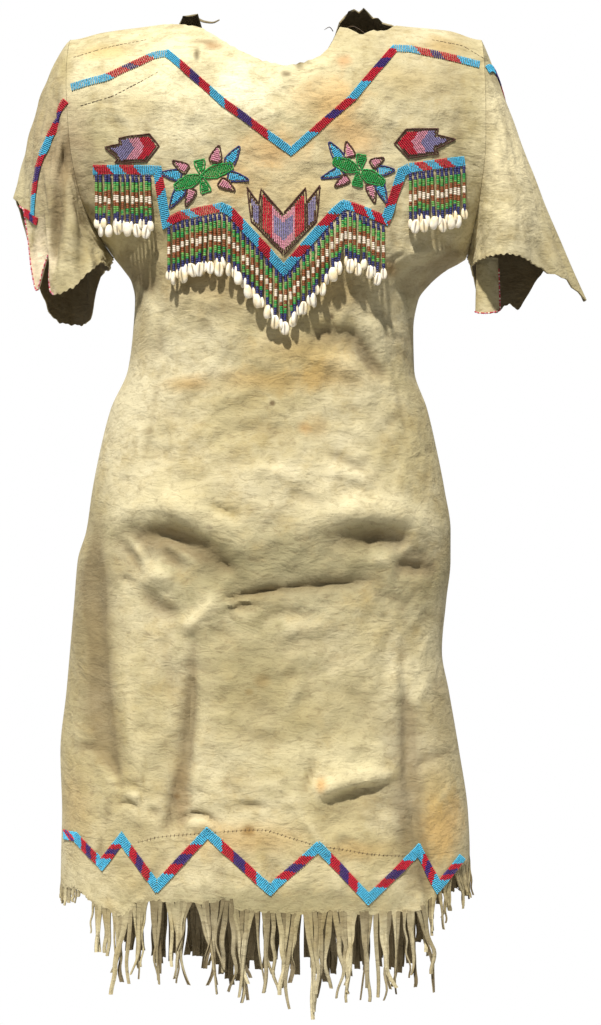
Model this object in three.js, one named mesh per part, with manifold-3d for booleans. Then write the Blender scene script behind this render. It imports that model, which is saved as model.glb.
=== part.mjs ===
// Beaded hide dress, filled out as if worn with nobody in it. Soft hide walls 2 mm thick make a front,
// a back, a pieced-on front border and two short open sleeves. Zigzag bands, motifs, bead fringes with
// cowrie shells and a cut hide fringe are sewn on. Millimetres, +Z up, front towards -Y. The origin is
// the middle of the shoulder line, where the wearer's shoulders hold the dress up.
import * as THREE from "three";
import { mergeVertices } from "three/addons/utils/BufferGeometryUtils.js";
import Module from "manifold-3d";

const HIDE = 2; // thickness of the soft hide
const SEAM = 0.3; // gap left between two pieces that are sewn together
const SHOULDER_ROUND = 112; // height over which the shoulder line rounds over to the chest
const SHOULDER_END = -24; // height of the shoulder line at the armholes
const ARMPIT = 276; // depth of the armholes below the origin
const BORDER = 930; // nominal depth of the seam where the front border is pieced on
const HEM = 1003; // nominal depth of the hem's cut edge
const COLUMNS = 24; // cells across the front
const BACK_COLUMNS = 16; // cells across the back
const BAND_WIDTH = 10; // width of the beaded bands
const BAND_STEP = 15; // longest straight stretch of a band
const BEADWORK = 1.6; // thickness of the beaded bands and motifs
const LIFT = { band: 1, hemBand: 1.4, backBand: 1.5, sleeveBand: 1.8, motif: 1.3 }; // above the hide
const BEAD_STRAND = 3.4; // width of one strand of the bead fringes
const BEAD_LENGTH = 50; // beads on one strand, from the band to the shell
const STRAND_LIFTS = [5, 13]; // distances of neighbouring strands from the hide at their lower ends
const COWRIE = { length: 17, width: 8.6, depth: 6, tip: 1.6 };
const ROOT_STRIP = { width: 3, under: 1.2, over: 5.6, gap: 0.5 }; // strip that carries the bead strands
const FRINGE = { width: 5.4, length: 94, left: 0.3, right: 0.62 }; // strips, shorter at the sides
const FRINGE_STRIP = 6; // lower edge of the strip that carries the hem fringe, below the hem
const FRINGE_MARGIN = 12; // bare length of that strip at both ends
const ARROW_CENTER = 20; // the arrows are drawn round a point this far below their table's zero

const table = (columns, rows) =>
  rows.map((row) => Object.fromEntries(columns.map((name, i) => [name, row[i]])));

// Sections of the body at heights z: side seams, depth in front and behind, depth left at the side edge
// (open armhole above the armpit, closed side seam below), and how square the section is (small = square).
const SECTIONS = table(
  ["z", "left", "right", "front", "back", "edge", "curve"],
  [
    [20, -237, 237, 90, 84, 66, 0.9],
    [-60, -237, 237, 100, 92, 74, 0.9],
    [-150, -232, 237, 112, 102, 76, 0.9],
    [-210, -222, 232, 118, 104, 62, 0.8],
    [-250, -205, 226, 121, 103, 34, 0.62],
    [-276, -188, 221, 122, 101, 0, 0.48],
    [-290, -177, 198, 121, 100, 0, 0.42],
    [-305, -167, 180, 119, 99, 0, 0.4],
    [-325, -163, 165, 117, 97, 0, 0.4],
    [-360, -165, 159, 114, 93, 0, 0.4],
    [-406, -171, 160, 112, 90, 0, 0.4],
    [-452, -191, 175, 114, 94, 0, 0.4],
    [-499, -203, 186, 121, 104, 0, 0.4],
    [-545, -212, 195, 130, 114, 0, 0.4],
    [-592, -219, 202, 132, 121, 0, 0.4],
    [-626, -229, 202, 128, 124, 0, 0.4],
    [-673, -233, 197, 127, 126, 0, 0.4],
    [-731, -238, 192, 129, 128, 0, 0.4],
    [-777, -242, 200, 131, 130, 0, 0.4],
    [-847, -249, 212, 135, 133, 0, 0.4],
    [-916, -247, 222, 139, 138, 0, 0.4],
    [-963, -248, 224, 142, 142, 0, 0.4],
    [-1040, -249, 224, 146, 148, 0, 0.4],
  ],
);

// Lines across the body, as height z at width x: the shoulder line, the pieced seam and the hem. The cut
// necklines are given as rises over the shoulder line, 0 where front and back are sewn together. The right
// shoulder seam is torn open, and the back stands up beside it and beside the left end of the neckline.
const SHOULDER = table(
  ["x", "z"],
  [
    [-237, SHOULDER_END], [-200, -16], [-140, -8], [-100, -2], [0, 0], [100, -2], [140, -8], [200, -14],
    [237, SHOULDER_END],
  ],
);
const NECK_FRONT = table(
  ["x", "rise"],
  [
    [-140, 0], [-117, -8], [-86, -17], [-73, -27], [-57, -40], [-40, -52], [-15, -65], [11, -72], [33, -67],
    [50, -59], [63, -44], [68, -30], [71, -18], [81, -18], [98, -29], [107, -21], [126, -17], [140, 0],
  ],
);
const NECK_BACK = table(
  ["x", "rise"],
  [
    [-140, 0], [-118, 8], [-89, 11], [-78, -2], [-57, -23], [-15, -44], [11, -50], [33, -45], [55, -30],
    [68, -12], [76, 6], [92, 15], [104, 15], [118, 6], [140, 0],
  ],
);
const BORDER_FRONT = table(
  ["x", "z"],
  [
    [-250, -934], [-155, -938], [-130, -930], [-91, -925], [-30, -920], [-8, -920], [12, -927],
    [42, -936], [108, -949], [158, -955], [230, -952],
  ],
);
const HEM_FRONT = table(
  ["x", "z"],
  [
    [-250, -996], [-225, -991], [-205, -1003], [-165, -1017], [-155, -1002], [-130, -996], [-85, -998],
    [-50, -992], [-44, -1004], [20, -1009], [60, -1006], [95, -1010], [160, -1012], [185, -990],
    [205, -972], [230, -963],
  ],
);
const HEM_BACK = table(
  ["x", "z"],
  [
    [-250, -996], [-200, -1004], [-140, -996], [-60, -1006], [30, -998], [110, -1008], [180, -992],
    [230, -963],
  ],
);

// The largest folds, each a soft ridge (rise above 0) or trough along a line that bows sideways.
const FOLDS = table(
  ["side", "x0", "z0", "x1", "z1", "bow", "width", "rise"],
  [
    ["front", 40, -378, 128, -424, 14, 15, -5],
    ["front", 52, -398, 120, -444, 12, 15, 3],
    ["front", -195, -590, -20, -616, 34, 22, 6],
    ["front", -190, -630, -30, -652, 26, 22, -4],
    ["front", 22, -582, 190, -606, 26, 22, 6],
    ["front", 130, -627, 184, -637, 0, 16, -6],
    ["front", -44, -660, 126, -648, 0, 14, -3],
    ["front", -55, -660, -102, -704, 0, 15, 5],
    ["front", -208, -622, -174, -868, -14, 24, -9],
    ["front", -88, -752, -118, -930, 6, 17, -5],
    ["front", -142, -812, -150, -918, -6, 16, 4],
    ["front", 42, -886, 144, -866, 8, 16, 5],
    ["front", 46, -910, 140, -892, 8, 16, -4],
    ["front", 190, -702, 146, -784, 0, 18, 6],
    ["front", 146, -760, 162, -1000, -6, 18, -10],
    ["front", 212, -272, 136, -322, 6, 15, -8],
    ["front", 216, -300, 138, -352, 4, 14, 4],
    ["front", -182, -276, -132, -322, 4, 15, -6],
    ["back", -150, -560, 120, -590, -30, 26, 6],
    ["back", -170, -640, -120, -860, 14, 26, -8],
    ["back", 60, -700, 96, -960, -8, 24, -8],
    ["back", -40, -760, -66, -980, 6, 22, 6],
    ["back", 150, -690, 168, -980, 0, 24, -7],
    ["back", -90, -380, 70, -392, 10, 18, -4],
  ],
);

// Centre lines of the beaded bands on the panels, and the two ends that run on over the sleeves.
const NECK_BAND = table(
  ["x", "z"],
  [
    [-231, -92], [-186, -81], [-137, -57], [-122, -55], [-56, -116], [18, -171], [86, -110], [135, -48],
    [152, -48], [231, -64],
  ],
);
const NECK_BAND_BACK = table(
  ["x", "z"],
  [[-229, -88], [-140, -56], [-120, -56], [0, -150], [120, -50], [150, -50], [229, -66]],
);
const YOKE_BAND = table(
  ["x", "z"],
  [
    [-204, -186], [-131, -190], [-121, -248], [-105, -241], [-59, -233], [-50, -237], [10, -303],
    [66, -239], [76, -230], [86, -232], [123, -246], [141, -192], [150, -187], [214, -176],
  ],
);
const HEM_BAND = table(
  ["x", "z"],
  [
    [-241, -938], [-225, -937], [-193, -964], [-170, -934], [-130, -984], [-74, -923], [-5, -985],
    [48, -938], [103, -997], [160, -948], [182, -990], [211, -962],
  ],
);
const HEM_BAND_BACK = table(
  ["x", "z"],
  [
    [-235, -942], [-200, -986], [-150, -930], [-95, -988], [-40, -930], [15, -988], [70, -930],
    [120, -986], [168, -932], [216, -959],
  ],
);

// Places of the sleeve bands, as shares of the way round from the top towards the front, and down.
const SLEEVE_BANDS = {
  left: [[0.21, 0.04], [0.17, 0.5], [0.125, 0.86]],
  right: [[0.17, 0.04], [-0.02, 0.35], [-0.15, 0.86]],
};

// Runs of the bead fringe: width it spans, number of strands and the stretch of band that it hangs from.
const BEAD_FRINGES = table(
  ["name", "from", "to", "strands", "band"],
  [
    ["fringe_left", -201, -139, 13, YOKE_BAND.slice(0, 2)],
    ["fringe_center", -118, 120, 47, YOKE_BAND.slice(2, 11)],
    ["fringe_right", 151, 212, 13, YOKE_BAND.slice(11)],
  ],
);

// Outlines of the motifs around a centre, as sideways and upward distances.
const ARROW = table(
  ["across", "along"],
  [[0, -40], [-36, -5], [-39, 30], [-23, 11], [-23, 27], [0, 2], [23, 27], [23, 11], [39, 30], [36, -5]],
);
const LEAF_STAR = table(
  ["angle", "reach"],
  [
    [8, 22], [24, 50], [38, 30], [62, 26], [86, 27], [104, 17], [128, 20], [150, 26], [160, 40], [174, 25],
    [198, 26], [212, 39], [232, 27], [268, 22], [296, 18], [318, 28], [338, 40], [352, 27],
  ],
);
const MOTIFS = table(
  ["name", "x", "z", "turn", "wide", "long", "outline"],
  [
    ["arrow_center", 10, -265, 0, 1, 1.06, "arrow"],
    ["arrow_left", -147, -165, -90, 0.4, 0.9, "arrow"],
    ["arrow_right", 151, -156, 90, 0.37, 0.95, "arrow"],
    ["flower_left", -81, -201, 0, 1, 1, "star"],
    ["flower_right", 92, -192, 0, -1, 1, "star"],
  ],
);

// Sleeves: the cuff's top corner and underarm corner, its half depth, how far the sleeve's top line swells
// out halfway, and how far the cut edge reaches out and down round the cuff. Angle 0 is the top, 90 the
// front and 270 the back.
const CUFF_LEFT = { side: -1, top: [304, -206], under: [193, -284], depth: 82, puff: 9 };
const CUFF_RIGHT = { side: 1, top: [322, -262], under: [226, -283], depth: 80, puff: 2.5 };
const EDGE_LEFT = table(
  ["angle", "out", "drop"],
  [
    [0, 0, 2], [18, -13, 18], [36, -20, 106], [50, -26, 60], [60, -24, 98], [90, -20, 74], [120, -12, 34],
    [150, -5, 7], [180, 0, 4], [210, 0, 7], [225, 0, 16], [240, 0, 76], [270, -8, 102], [300, -12, 116],
    [315, -14, 108], [340, -8, 40], [360, 0, 2],
  ],
);
const EDGE_RIGHT = table(
  ["angle", "out", "drop"],
  [
    [0, 38, 64], [16, 16, 44], [45, -14, 24], [90, -16, 8], [135, -8, 4], [180, 0, 4], [200, 2, 14],
    [212, 6, 52], [240, 10, 56], [262, 10, 48], [274, 10, 57], [300, 24, 12], [335, 26, 18], [360, 38, 64],
  ],
);

// Smooth curve through a table that never overshoots a row.
function curveOf(rows, key, column) {
  const knots = rows[0][key] < rows.at(-1)[key] ? rows : [...rows].reverse();
  const slope = (i) => (knots[i + 1][column] - knots[i][column]) / (knots[i + 1][key] - knots[i][key]);
  const tangent = (i) => {
    if (i === 0 || i === knots.length - 1) return 0;
    const [before, after] = [slope(i - 1), slope(i)];
    return before * after > 0 ? (2 * before * after) / (before + after) : 0;
  };
  return (at) => {
    if (at <= knots[0][key]) return knots[0][column];
    if (at >= knots.at(-1)[key]) return knots.at(-1)[column];
    const i = knots.findIndex((row) => row[key] > at) - 1;
    const span = knots[i + 1][key] - knots[i][key];
    const t = (at - knots[i][key]) / span;
    const [t2, t3] = [t * t, t * t * t];
    const start = (2 * t3 - 3 * t2 + 1) * knots[i][column] + (t3 - 2 * t2 + t) * span * tangent(i);
    return start + (3 * t2 - 2 * t3) * knots[i + 1][column] + (t3 - t2) * span * tangent(i + 1);
  };
}

// Straight lines through a table, for cut edges with corners.
function lineOf(rows, key = "x", column = "z") {
  return (at) => {
    const i = Math.max(1, rows.findIndex((row) => row[key] >= at));
    const j = at >= rows.at(-1)[key] ? rows.length - 1 : i;
    const [a, b] = [rows[j - 1], rows[j]];
    const t = THREE.MathUtils.clamp((at - a[key]) / (b[key] - a[key]), 0, 1);
    return a[column] + t * (b[column] - a[column]);
  };
}

const section = Object.fromEntries(
  ["left", "right", "front", "back", "edge", "curve"].map((name) => [name, curveOf(SECTIONS, "z", name)]),
);
const shoulder = curveOf(SHOULDER, "x", "z");
const clamp = THREE.MathUtils.clamp;

// Sum of the soft ridges and troughs at a place on one side of the body.
function foldRise(side, x, z) {
  let rise = 0;
  for (const fold of FOLDS.filter((row) => row.side === side)) {
    const [dx, dz] = [fold.x1 - fold.x0, fold.z1 - fold.z0];
    const long = Math.hypot(dx, dz);
    const t = ((x - fold.x0) * dx + (z - fold.z0) * dz) / (long * long);
    const off = ((x - fold.x0) * -dz + (z - fold.z0) * dx) / long - fold.bow * 4 * t * (1 - t);
    const ends = Math.max(0, 1 - Math.abs(2 * t - 1) ** 6);
    rise += t > 0 && t < 1 ? fold.rise * ends * Math.exp(-((off / fold.width) ** 2)) : 0;
  }
  return rise;
}

// Half depth of the body at width x and height z, where across runs from -1 to 1 between the side edges.
function depthAt(side, across, x, z) {
  const round = Math.max(0, 1 - across * across) ** section.curve(z);
  const full = section.edge(z) + (section[side](z) - section.edge(z)) * round;
  const below = clamp((shoulderTop(side, x) - z) / SHOULDER_ROUND, 0, 1);
  return (full + foldRise(side, x, z) * (1 - across ** 4)) * Math.sqrt(1 - (1 - below) ** 2);
}

const neckRise = { front: lineOf(NECK_FRONT, "x", "rise"), back: lineOf(NECK_BACK, "x", "rise") };
const shoulderTop = (side, x) => shoulder(x) + Math.max(0, neckRise[side](x));

// A point on the outside of the front or back.
function bodyPoint(side, x, z) {
  const [left, right] = [section.left(z), section.right(z)];
  const across = clamp((2 * x - left - right) / (right - left), -1, 1);
  const depth = depthAt(side, across, x, z) + SEAM / 2;
  return new THREE.Vector3(x, side === "front" ? -depth : depth, z);
}

// A point on a sewn-on piece: the panel's point, moved out along the panel's normal.
function raisedPoint(side, x, z, lift) {
  const [left, right] = [section.left(z), section.right(z)];
  const turn = Math.asin(clamp((2 * x - left - right) / (right - left), -0.999, 0.999));
  const width = (angle) => (left + right + (right - left) * Math.sin(angle)) / 2;
  const [turned, dropped] = [0.03, 6];
  const along = bodyPoint(side, width(turn + turned), z).sub(bodyPoint(side, width(turn - turned), z));
  const down = bodyPoint(side, x, z - dropped).sub(bodyPoint(side, x, z + dropped));
  const normal = along.cross(down).normalize();
  if ((side === "front") === normal.y > 0) normal.negate();
  return panelPoint(side, x, z).addScaledVector(normal, lift);
}

// The point at width x and height z on the flat facets of a panel's outer side.
function panelPoint(side, x, z) {
  const grid = panelGrids[side];
  for (let i = 0; i < grid.length - 1; i++) {
    if (Math.max(...grid[i].map((p) => p.z)) < z || Math.min(...grid[i + 1].map((p) => p.z)) > z) continue;
    for (let j = 0; j < grid[i].length - 1; j++) {
      const [a, b, c, d] = [grid[i][j], grid[i + 1][j], grid[i + 1][j + 1], grid[i][j + 1]];
      for (const [p, q, r] of [[a, b, c], [a, c, d]]) {
        const area = (q.x - p.x) * (r.z - p.z) - (r.x - p.x) * (q.z - p.z);
        const v = ((x - p.x) * (r.z - p.z) - (r.x - p.x) * (z - p.z)) / area;
        const w = ((q.x - p.x) * (z - p.z) - (x - p.x) * (q.z - p.z)) / area;
        if (v < -1e-6 || w < -1e-6 || v + w > 1 + 1e-6) continue;
        return new THREE.Vector3(x, p.y + v * (q.y - p.y) + w * (r.y - p.y), z);
      }
    }
  }
  return bodyPoint(side, x, z);
}

const add = (a, b, share) => a.clone().addScaledVector(b, share);

// Normals of a grid of points by differences along its rows and columns, all on one side.
function gridNormals(grid, wrap, outward) {
  const [rows, columns] = [grid.length, grid[0].length];
  const normals = grid.map((row, i) =>
    row.map((point, j) => {
      const [up, down] = [grid[Math.max(0, i - 1)][j], grid[Math.min(rows - 1, i + 1)][j]];
      const before = wrap ? row[(j + columns - 1) % columns] : row[Math.max(0, j - 1)];
      const after = wrap ? row[(j + 1) % columns] : row[Math.min(columns - 1, j + 1)];
      return after.clone().sub(before).cross(down.clone().sub(up)).normalize();
    }),
  );
  let facing = 0;
  grid.forEach((row, i) => row.forEach((point, j) => (facing += normals[i][j].dot(outward(point)))));
  if (facing < 0) normals.flat().forEach((normal) => normal.negate());
  return normals;
}

// Closed mesh between two grids of the same shape, with its edges closed. Wrapped grids make a tube.
function shell(outer, inner, wrap = false) {
  const [rows, columns] = [outer.length, outer[0].length];
  const positions = [...outer.flat(), ...inner.flat()].flatMap((point) => point.toArray());
  const faces = [];
  const at = (layer, i, j) => layer * rows * columns + i * columns + (j % columns);
  const quad = (a, b, c, d) => faces.push(a, b, c, a, c, d);
  const last = wrap ? columns : columns - 1;
  for (let i = 0; i < rows - 1; i++) {
    for (let j = 0; j < last; j++) {
      quad(at(0, i, j), at(0, i + 1, j), at(0, i + 1, j + 1), at(0, i, j + 1));
      quad(at(1, i, j), at(1, i, j + 1), at(1, i + 1, j + 1), at(1, i + 1, j));
    }
  }
  for (let j = 0; j < last; j++) {
    quad(at(0, 0, j + 1), at(1, 0, j + 1), at(1, 0, j), at(0, 0, j));
    quad(at(0, rows - 1, j), at(1, rows - 1, j), at(1, rows - 1, j + 1), at(0, rows - 1, j + 1));
  }
  for (let i = 0; !wrap && i < rows - 1; i++) {
    quad(at(0, i, 0), at(1, i, 0), at(1, i + 1, 0), at(0, i + 1, 0));
    quad(at(0, i + 1, last), at(1, i + 1, last), at(1, i, last), at(0, i, last));
  }
  return facingOut(positions, faces);
}

// Buffer geometry with its faces turned outwards.
function facingOut(positions, faces) {
  let volume = 0;
  for (let f = 0; f < faces.length; f += 3) {
    const [a, b, c] = faces.slice(f, f + 3).map((v) => new THREE.Vector3().fromArray(positions, 3 * v));
    volume += a.dot(b.cross(c));
  }
  const turned = volume < 0 ? faces.map((_, i) => faces[i - (i % 3) + (2 - (i % 3))]) : faces;
  const geometry = new THREE.BufferGeometry();
  geometry.setAttribute("position", new THREE.Float32BufferAttribute(positions, 3));
  geometry.setIndex(turned);
  geometry.computeVertexNormals();
  return geometry;
}

// Depths of the rows of the grids: close together over the rounded shoulder, then evenly to the hem.
const evenly = (from, to, steps) =>
  Array.from({ length: steps + 1 }, (_, i) => from + ((to - from) * i) / steps);
const ARMHOLE_ROWS = [0, 4, 15, 33, 56, 83, 112, 142, 173, 204, 232, 256, ARMPIT];
const BODY_ROWS = [...ARMHOLE_ROWS, 290, 305, 325, ...evenly(356, BORDER, 13)];
const BORDER_ROWS = evenly(BORDER, HEM, 2);

// Height of a row at width x: between the neckline, the level armpit line, the pieced seam and the hem.
function rowHeight(side, x, depth) {
  const top = shoulder(x) + neckRise[side](x);
  const seam = side === "front" ? lineOf(BORDER_FRONT)(x) : -BORDER;
  const hem = side === "front" ? lineOf(HEM_FRONT)(x) : lineOf(HEM_BACK)(x);
  const levels = table(
    ["depth", "z"],
    [[0, top], [ARMPIT, -ARMPIT], [BORDER - 90, 90 - BORDER], [BORDER, seam], [HEM, hem]],
  );
  return lineOf(levels, "depth")(depth);
}

// Grid of outer points of the front or back, over the given rows.
function bodyGrid(side, rows, columns) {
  return rows.map((depth) =>
    evenly(-90, 90, columns).map((angle) => {
      const across = Math.sin(THREE.MathUtils.degToRad(angle));
      let [x, z] = [0, -depth];
      for (let pass = 0; pass < 4; pass++) {
        x = (section.left(z) + section.right(z) + across * (section.right(z) - section.left(z))) / 2;
        z = rowHeight(side, x, depth);
      }
      const y = depthAt(side, across, x, z) + SEAM / 2;
      return new THREE.Vector3(x, side === "front" ? -y : y, z);
    }),
  );
}

const backRows = [...ARMHOLE_ROWS, 290, 305, 325, ...evenly(362, HEM, 12)];
const panelGrids = {
  front: bodyGrid("front", [...BODY_ROWS, ...BORDER_ROWS.slice(1)], COLUMNS),
  back: bodyGrid("back", backRows, BACK_COLUMNS),
};

// Half depth of the armholes at height z.
function armholeDepth(z) {
  const below = clamp((SHOULDER_END - z) / SHOULDER_ROUND, 0, 1);
  return section.edge(z) * Math.sqrt(1 - (1 - below) ** 2);
}

// Direction from the armhole's edge into the hollow, square to the edge and level with the seam.
function armholeInward(point) {
  const beside = 3;
  const slope = (armholeDepth(point.z + beside) - armholeDepth(point.z - beside)) / (2 * beside);
  const facing = Math.abs(point.y) < 1 ? 0 : -Math.sign(point.y);
  if (facing === 0) return new THREE.Vector3(0, 0, point.z > -ARMPIT / 2 ? -1 : 1);
  return new THREE.Vector3(0, facing, slope).normalize();
}

// Hide wall under a grid of body points. Its armhole edges turn in as the sleeves' edges do.
function bodyWall(side, rows, columns) {
  const outer = bodyGrid(side, rows, columns);
  const away = side === "front" ? -1 : 1;
  const normals = gridNormals(outer, false, () => new THREE.Vector3(0, away, 0));
  const inner = outer.map((row, i) =>
    row.map((point, j) => {
      const atArmhole = rows[i] < ARMPIT && (j === 0 || j === columns);
      const place = atArmhole ? add(point, armholeInward(point), HIDE) : add(point, normals[i][j], -HIDE);
      place.y = away * Math.max(SEAM / 2, away * place.y);
      return place;
    }),
  );
  return [outer, inner];
}

// Moves the first or last row of a wall by half a seam, so that two pieces cut along it stay apart.
function partAtSeam([outer, inner], row, rise) {
  for (const grid of [outer, inner]) grid.at(row).forEach((point) => (point.z += rise));
  return shell(outer, inner);
}

// Sleeve: an open tube from the armhole's edge to the cut cuff. Its rings share the armhole's rows.
function sleeve(cuff, edge) {
  const [out, drop] = [curveOf(edge, "angle", "out"), curveOf(edge, "angle", "drop")];
  const sideLine = cuff.side < 0 ? section.left : section.right;
  const heights = ARMHOLE_ROWS.map((depth) => rowHeight("front", sideLine(-depth), depth));
  const [top, under] = [heights[0], heights.at(-1)];
  const rings = [...heights.keys()].map((i) => [heights[i], -1]);
  const back = rings.slice(1, -1).reverse().map(([z]) => [z, 1]);
  const around = [...rings, ...back].map(([z, face]) => {
    const turn = Math.acos(clamp(1 - (2 * (z - top)) / (under - top), -1, 1));
    return { z, face, turn, angle: THREE.MathUtils.radToDeg(face < 0 ? turn : 2 * Math.PI - turn) };
  });
  const steps = [0, 0.16, 0.36, 0.56, 0.74, 0.88, 1];
  const outer = steps.map((s) =>
    around.map(({ z, face, turn, angle }) => {
      const share = (1 - Math.cos(turn)) / 2;
      const start = new THREE.Vector3(sideLine(z) + cuff.side * SEAM, face * armholeDepth(z), z);
      const end = new THREE.Vector3(
        cuff.side * (cuff.top[0] + share * (cuff.under[0] - cuff.top[0]) + out(angle) * s ** 2),
        face * cuff.depth * Math.sin(turn),
        cuff.top[1] + share * (cuff.under[1] - cuff.top[1]) - drop(angle) * s ** 2,
      );
      const swell = cuff.puff * Math.sin(Math.PI * s ** 0.7) * (1 - share) ** 2;
      return start.lerp(end, s).add(new THREE.Vector3(cuff.side * swell, 0, swell / 2));
    }),
  );
  const outward = (point) => new THREE.Vector3(cuff.side * 0.6, Math.sign(point.y), 0.2);
  const normals = gridNormals(outer, true, outward);
  const inner = outer.map((ring, i) =>
    ring.map((point, j) => {
      return i === 0 ? add(point, armholeInward(point), HIDE) : add(point, normals[i][j], -HIDE);
    }),
  );
  return { outer, inner };
}

// Points along a table of corners on a panel, no further apart than the step.
function subdivide(side, corners, step) {
  const points = [];
  corners.slice(1).forEach((corner, i) => {
    const from = corners[i];
    const [start, end] = [bodyPoint(side, from.x, from.z), bodyPoint(side, corner.x, corner.z)];
    const long = start.distanceTo(end);
    const steep = long > 1.4 * Math.hypot(corner.x - from.x, corner.z - from.z);
    const count = Math.ceil(long / (steep ? step / 3 : step));
    evenly(0, 1, count).slice(0, -1).forEach((t) =>
      points.push({ x: from.x + t * (corner.x - from.x), z: from.z + t * (corner.z - from.z) }),
    );
  });
  return [...points, corners.at(-1)];
}

// Sideways step at each point of a path, square to it and lengthened at corners to keep the width.
function mitres(path) {
  const heading = (a, b) => new THREE.Vector2(b.x - a.x, b.z - a.z).normalize();
  return path.map((point, i) => {
    const before = heading(path[Math.max(0, i - 1)], path[Math.max(1, i)]);
    const after = heading(path[Math.min(i, path.length - 2)], path[Math.min(i + 1, path.length - 1)]);
    const middle = before.clone().add(after).normalize();
    const stretch = 1 / Math.max(0.45, middle.dot(after));
    return new THREE.Vector2(-middle.y, middle.x).multiplyScalar(stretch);
  });
}

// Path moved sideways by a distance, to the left of its heading.
function moved(path, distance) {
  const sides = mitres(path);
  return path.map(({ x, z }, i) => ({ x: x + sides[i].x * distance, z: z + sides[i].y * distance }));
}

// Raised band along a path on a panel.
function band(side, corners, width, lift = LIFT.band) {
  const path = subdivide(side, corners, BAND_STEP);
  const edges = [moved(path, width / 2), moved(path, -width / 2)];
  const grid = (height) => edges.map((line) => line.map(({ x, z }) => raisedPoint(side, x, z, height)));
  return shell(grid(lift + BEADWORK), grid(lift));
}

// Raised band on a sleeve, between two places given as shares of its rings and of its length.
function sleeveBand({ outer }, places, width) {
  const rings = outer.length - 1;
  const at = (turn, s) => {
    const columns = outer[0].length;
    const [i, j] = [clamp(Math.floor(s * rings), 0, rings - 1), Math.floor(turn * columns)];
    const [u, v] = [s * rings - i, turn * columns - j];
    const ringPoint = (di) => {
      const ring = outer[i + di];
      return ring[(j + 2 * columns) % columns].clone().lerp(ring[(j + 1 + 2 * columns) % columns], v);
    };
    return ringPoint(0).lerp(ringPoint(1), u);
  };
  const path = places.flatMap(([turn, s], i) =>
    i === 0 ? [[turn, s]] : evenly(0, 1, 3).slice(1).map((t) => [
      places[i - 1][0] + t * (turn - places[i - 1][0]),
      places[i - 1][1] + t * (s - places[i - 1][1]),
    ]),
  );
  const frames = path.map(([turn, s], i) => {
    const point = at(turn, s);
    const [a, b] = [path[Math.max(0, i - 1)], path[Math.min(path.length - 1, i + 1)]];
    const forward = at(...b).sub(at(...a)).normalize();
    const around = at(turn + 0.01, s).sub(at(turn - 0.01, s)).normalize();
    const along = at(turn, Math.min(1, s + 0.02)).sub(at(turn, Math.max(0, s - 0.02))).normalize();
    const normal = around.cross(along).normalize();
    if (normal.x * Math.sign(point.x) + normal.y * Math.sign(point.y) < 0) normal.negate();
    return { point, normal, aside: normal.clone().cross(forward).normalize() };
  });
  const grid = (lift) => [1, -1].map((sign) =>
    frames.map(({ point, normal, aside }) => add(add(point, aside, (sign * width) / 2), normal, lift)),
  );
  return shell(grid(LIFT.sleeveBand + BEADWORK), grid(LIFT.sleeveBand));
}

// Raised plate with a star-shaped outline, in rings round its centre.
function motif({ x, z, turn, wide, long, outline }) {
  const angle = THREE.MathUtils.degToRad(turn);
  const star = LEAF_STAR.map((row) => {
    const at = THREE.MathUtils.degToRad(row.angle);
    return [row.reach * Math.cos(at), row.reach * Math.sin(at)];
  });
  const arrow = ARROW.map(({ across, along }) => [across, along + ARROW_CENTER]);
  const corners = outline === "star" ? star : arrow;
  const turned = corners.map(([a, b]) => [
    wide * a * Math.cos(angle) + long * b * Math.sin(angle),
    long * b * Math.cos(angle) - wide * a * Math.sin(angle),
  ]);
  const ring = (share, lift) =>
    turned.map(([a, b]) => raisedPoint("front", x + share * a, z + share * b, lift));
  const grid = (lift) => [0.02, 0.5, 1].map((share) => ring(share, lift));
  return shell(grid(LIFT.motif + BEADWORK), grid(LIFT.motif), true);
}

const wasm = await Module();
wasm.setup();

// Solid for joining, from a closed geometry.
function solidOf(geometry) {
  const bare = geometry.clone();
  for (const name of ["normal", "uv"]) bare.deleteAttribute(name);
  const merged = mergeVertices(bare, 1e-4);
  const mesh = new wasm.Mesh({
    numProp: 3,
    vertProperties: new Float32Array(merged.attributes.position.array),
    triVerts: new Uint32Array(merged.index.array),
  });
  return new wasm.Manifold(mesh);
}

// One closed geometry from several that run into each other.
function joined(geometries) {
  const whole = geometries.map(solidOf).reduce((sum, solid) => sum.add(solid));
  const { vertProperties, triVerts } = whole.getMesh();
  const geometry = new THREE.BufferGeometry();
  geometry.setAttribute("position", new THREE.Float32BufferAttribute(vertProperties, 3));
  geometry.setIndex([...triVerts]);
  geometry.computeVertexNormals();
  return geometry;
}

// Closed strand through centre points, each with a half width and half depth, with 3 or 4 sides.
function strand(points, sides, ahead = new THREE.Vector3(1, 0, 0)) {
  const aside = new THREE.Vector3(0, 0, 1).cross(ahead);
  const rings = points.map(({ at, wide, deep }) =>
    evenly(0, 2 * Math.PI, sides).slice(0, -1).map((turn) => {
      const start = turn + Math.PI / sides;
      return add(add(at, ahead, wide * Math.cos(start)), aside, deep * Math.sin(start));
    }),
  );
  const positions = rings.flat().flatMap((point) => point.toArray());
  const faces = [];
  for (let i = 0; i < rings.length - 1; i++) {
    for (let j = 0; j < sides; j++) {
      const [a, b] = [i * sides + j, i * sides + ((j + 1) % sides)];
      faces.push(a, b, b + sides, a, b + sides, a + sides);
    }
  }
  for (let j = 1; j < sides - 1; j++) {
    const base = (rings.length - 1) * sides;
    faces.push(0, j + 1, j, base, base + j, base + j + 1);
  }
  return facingOut(positions, faces);
}

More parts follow.
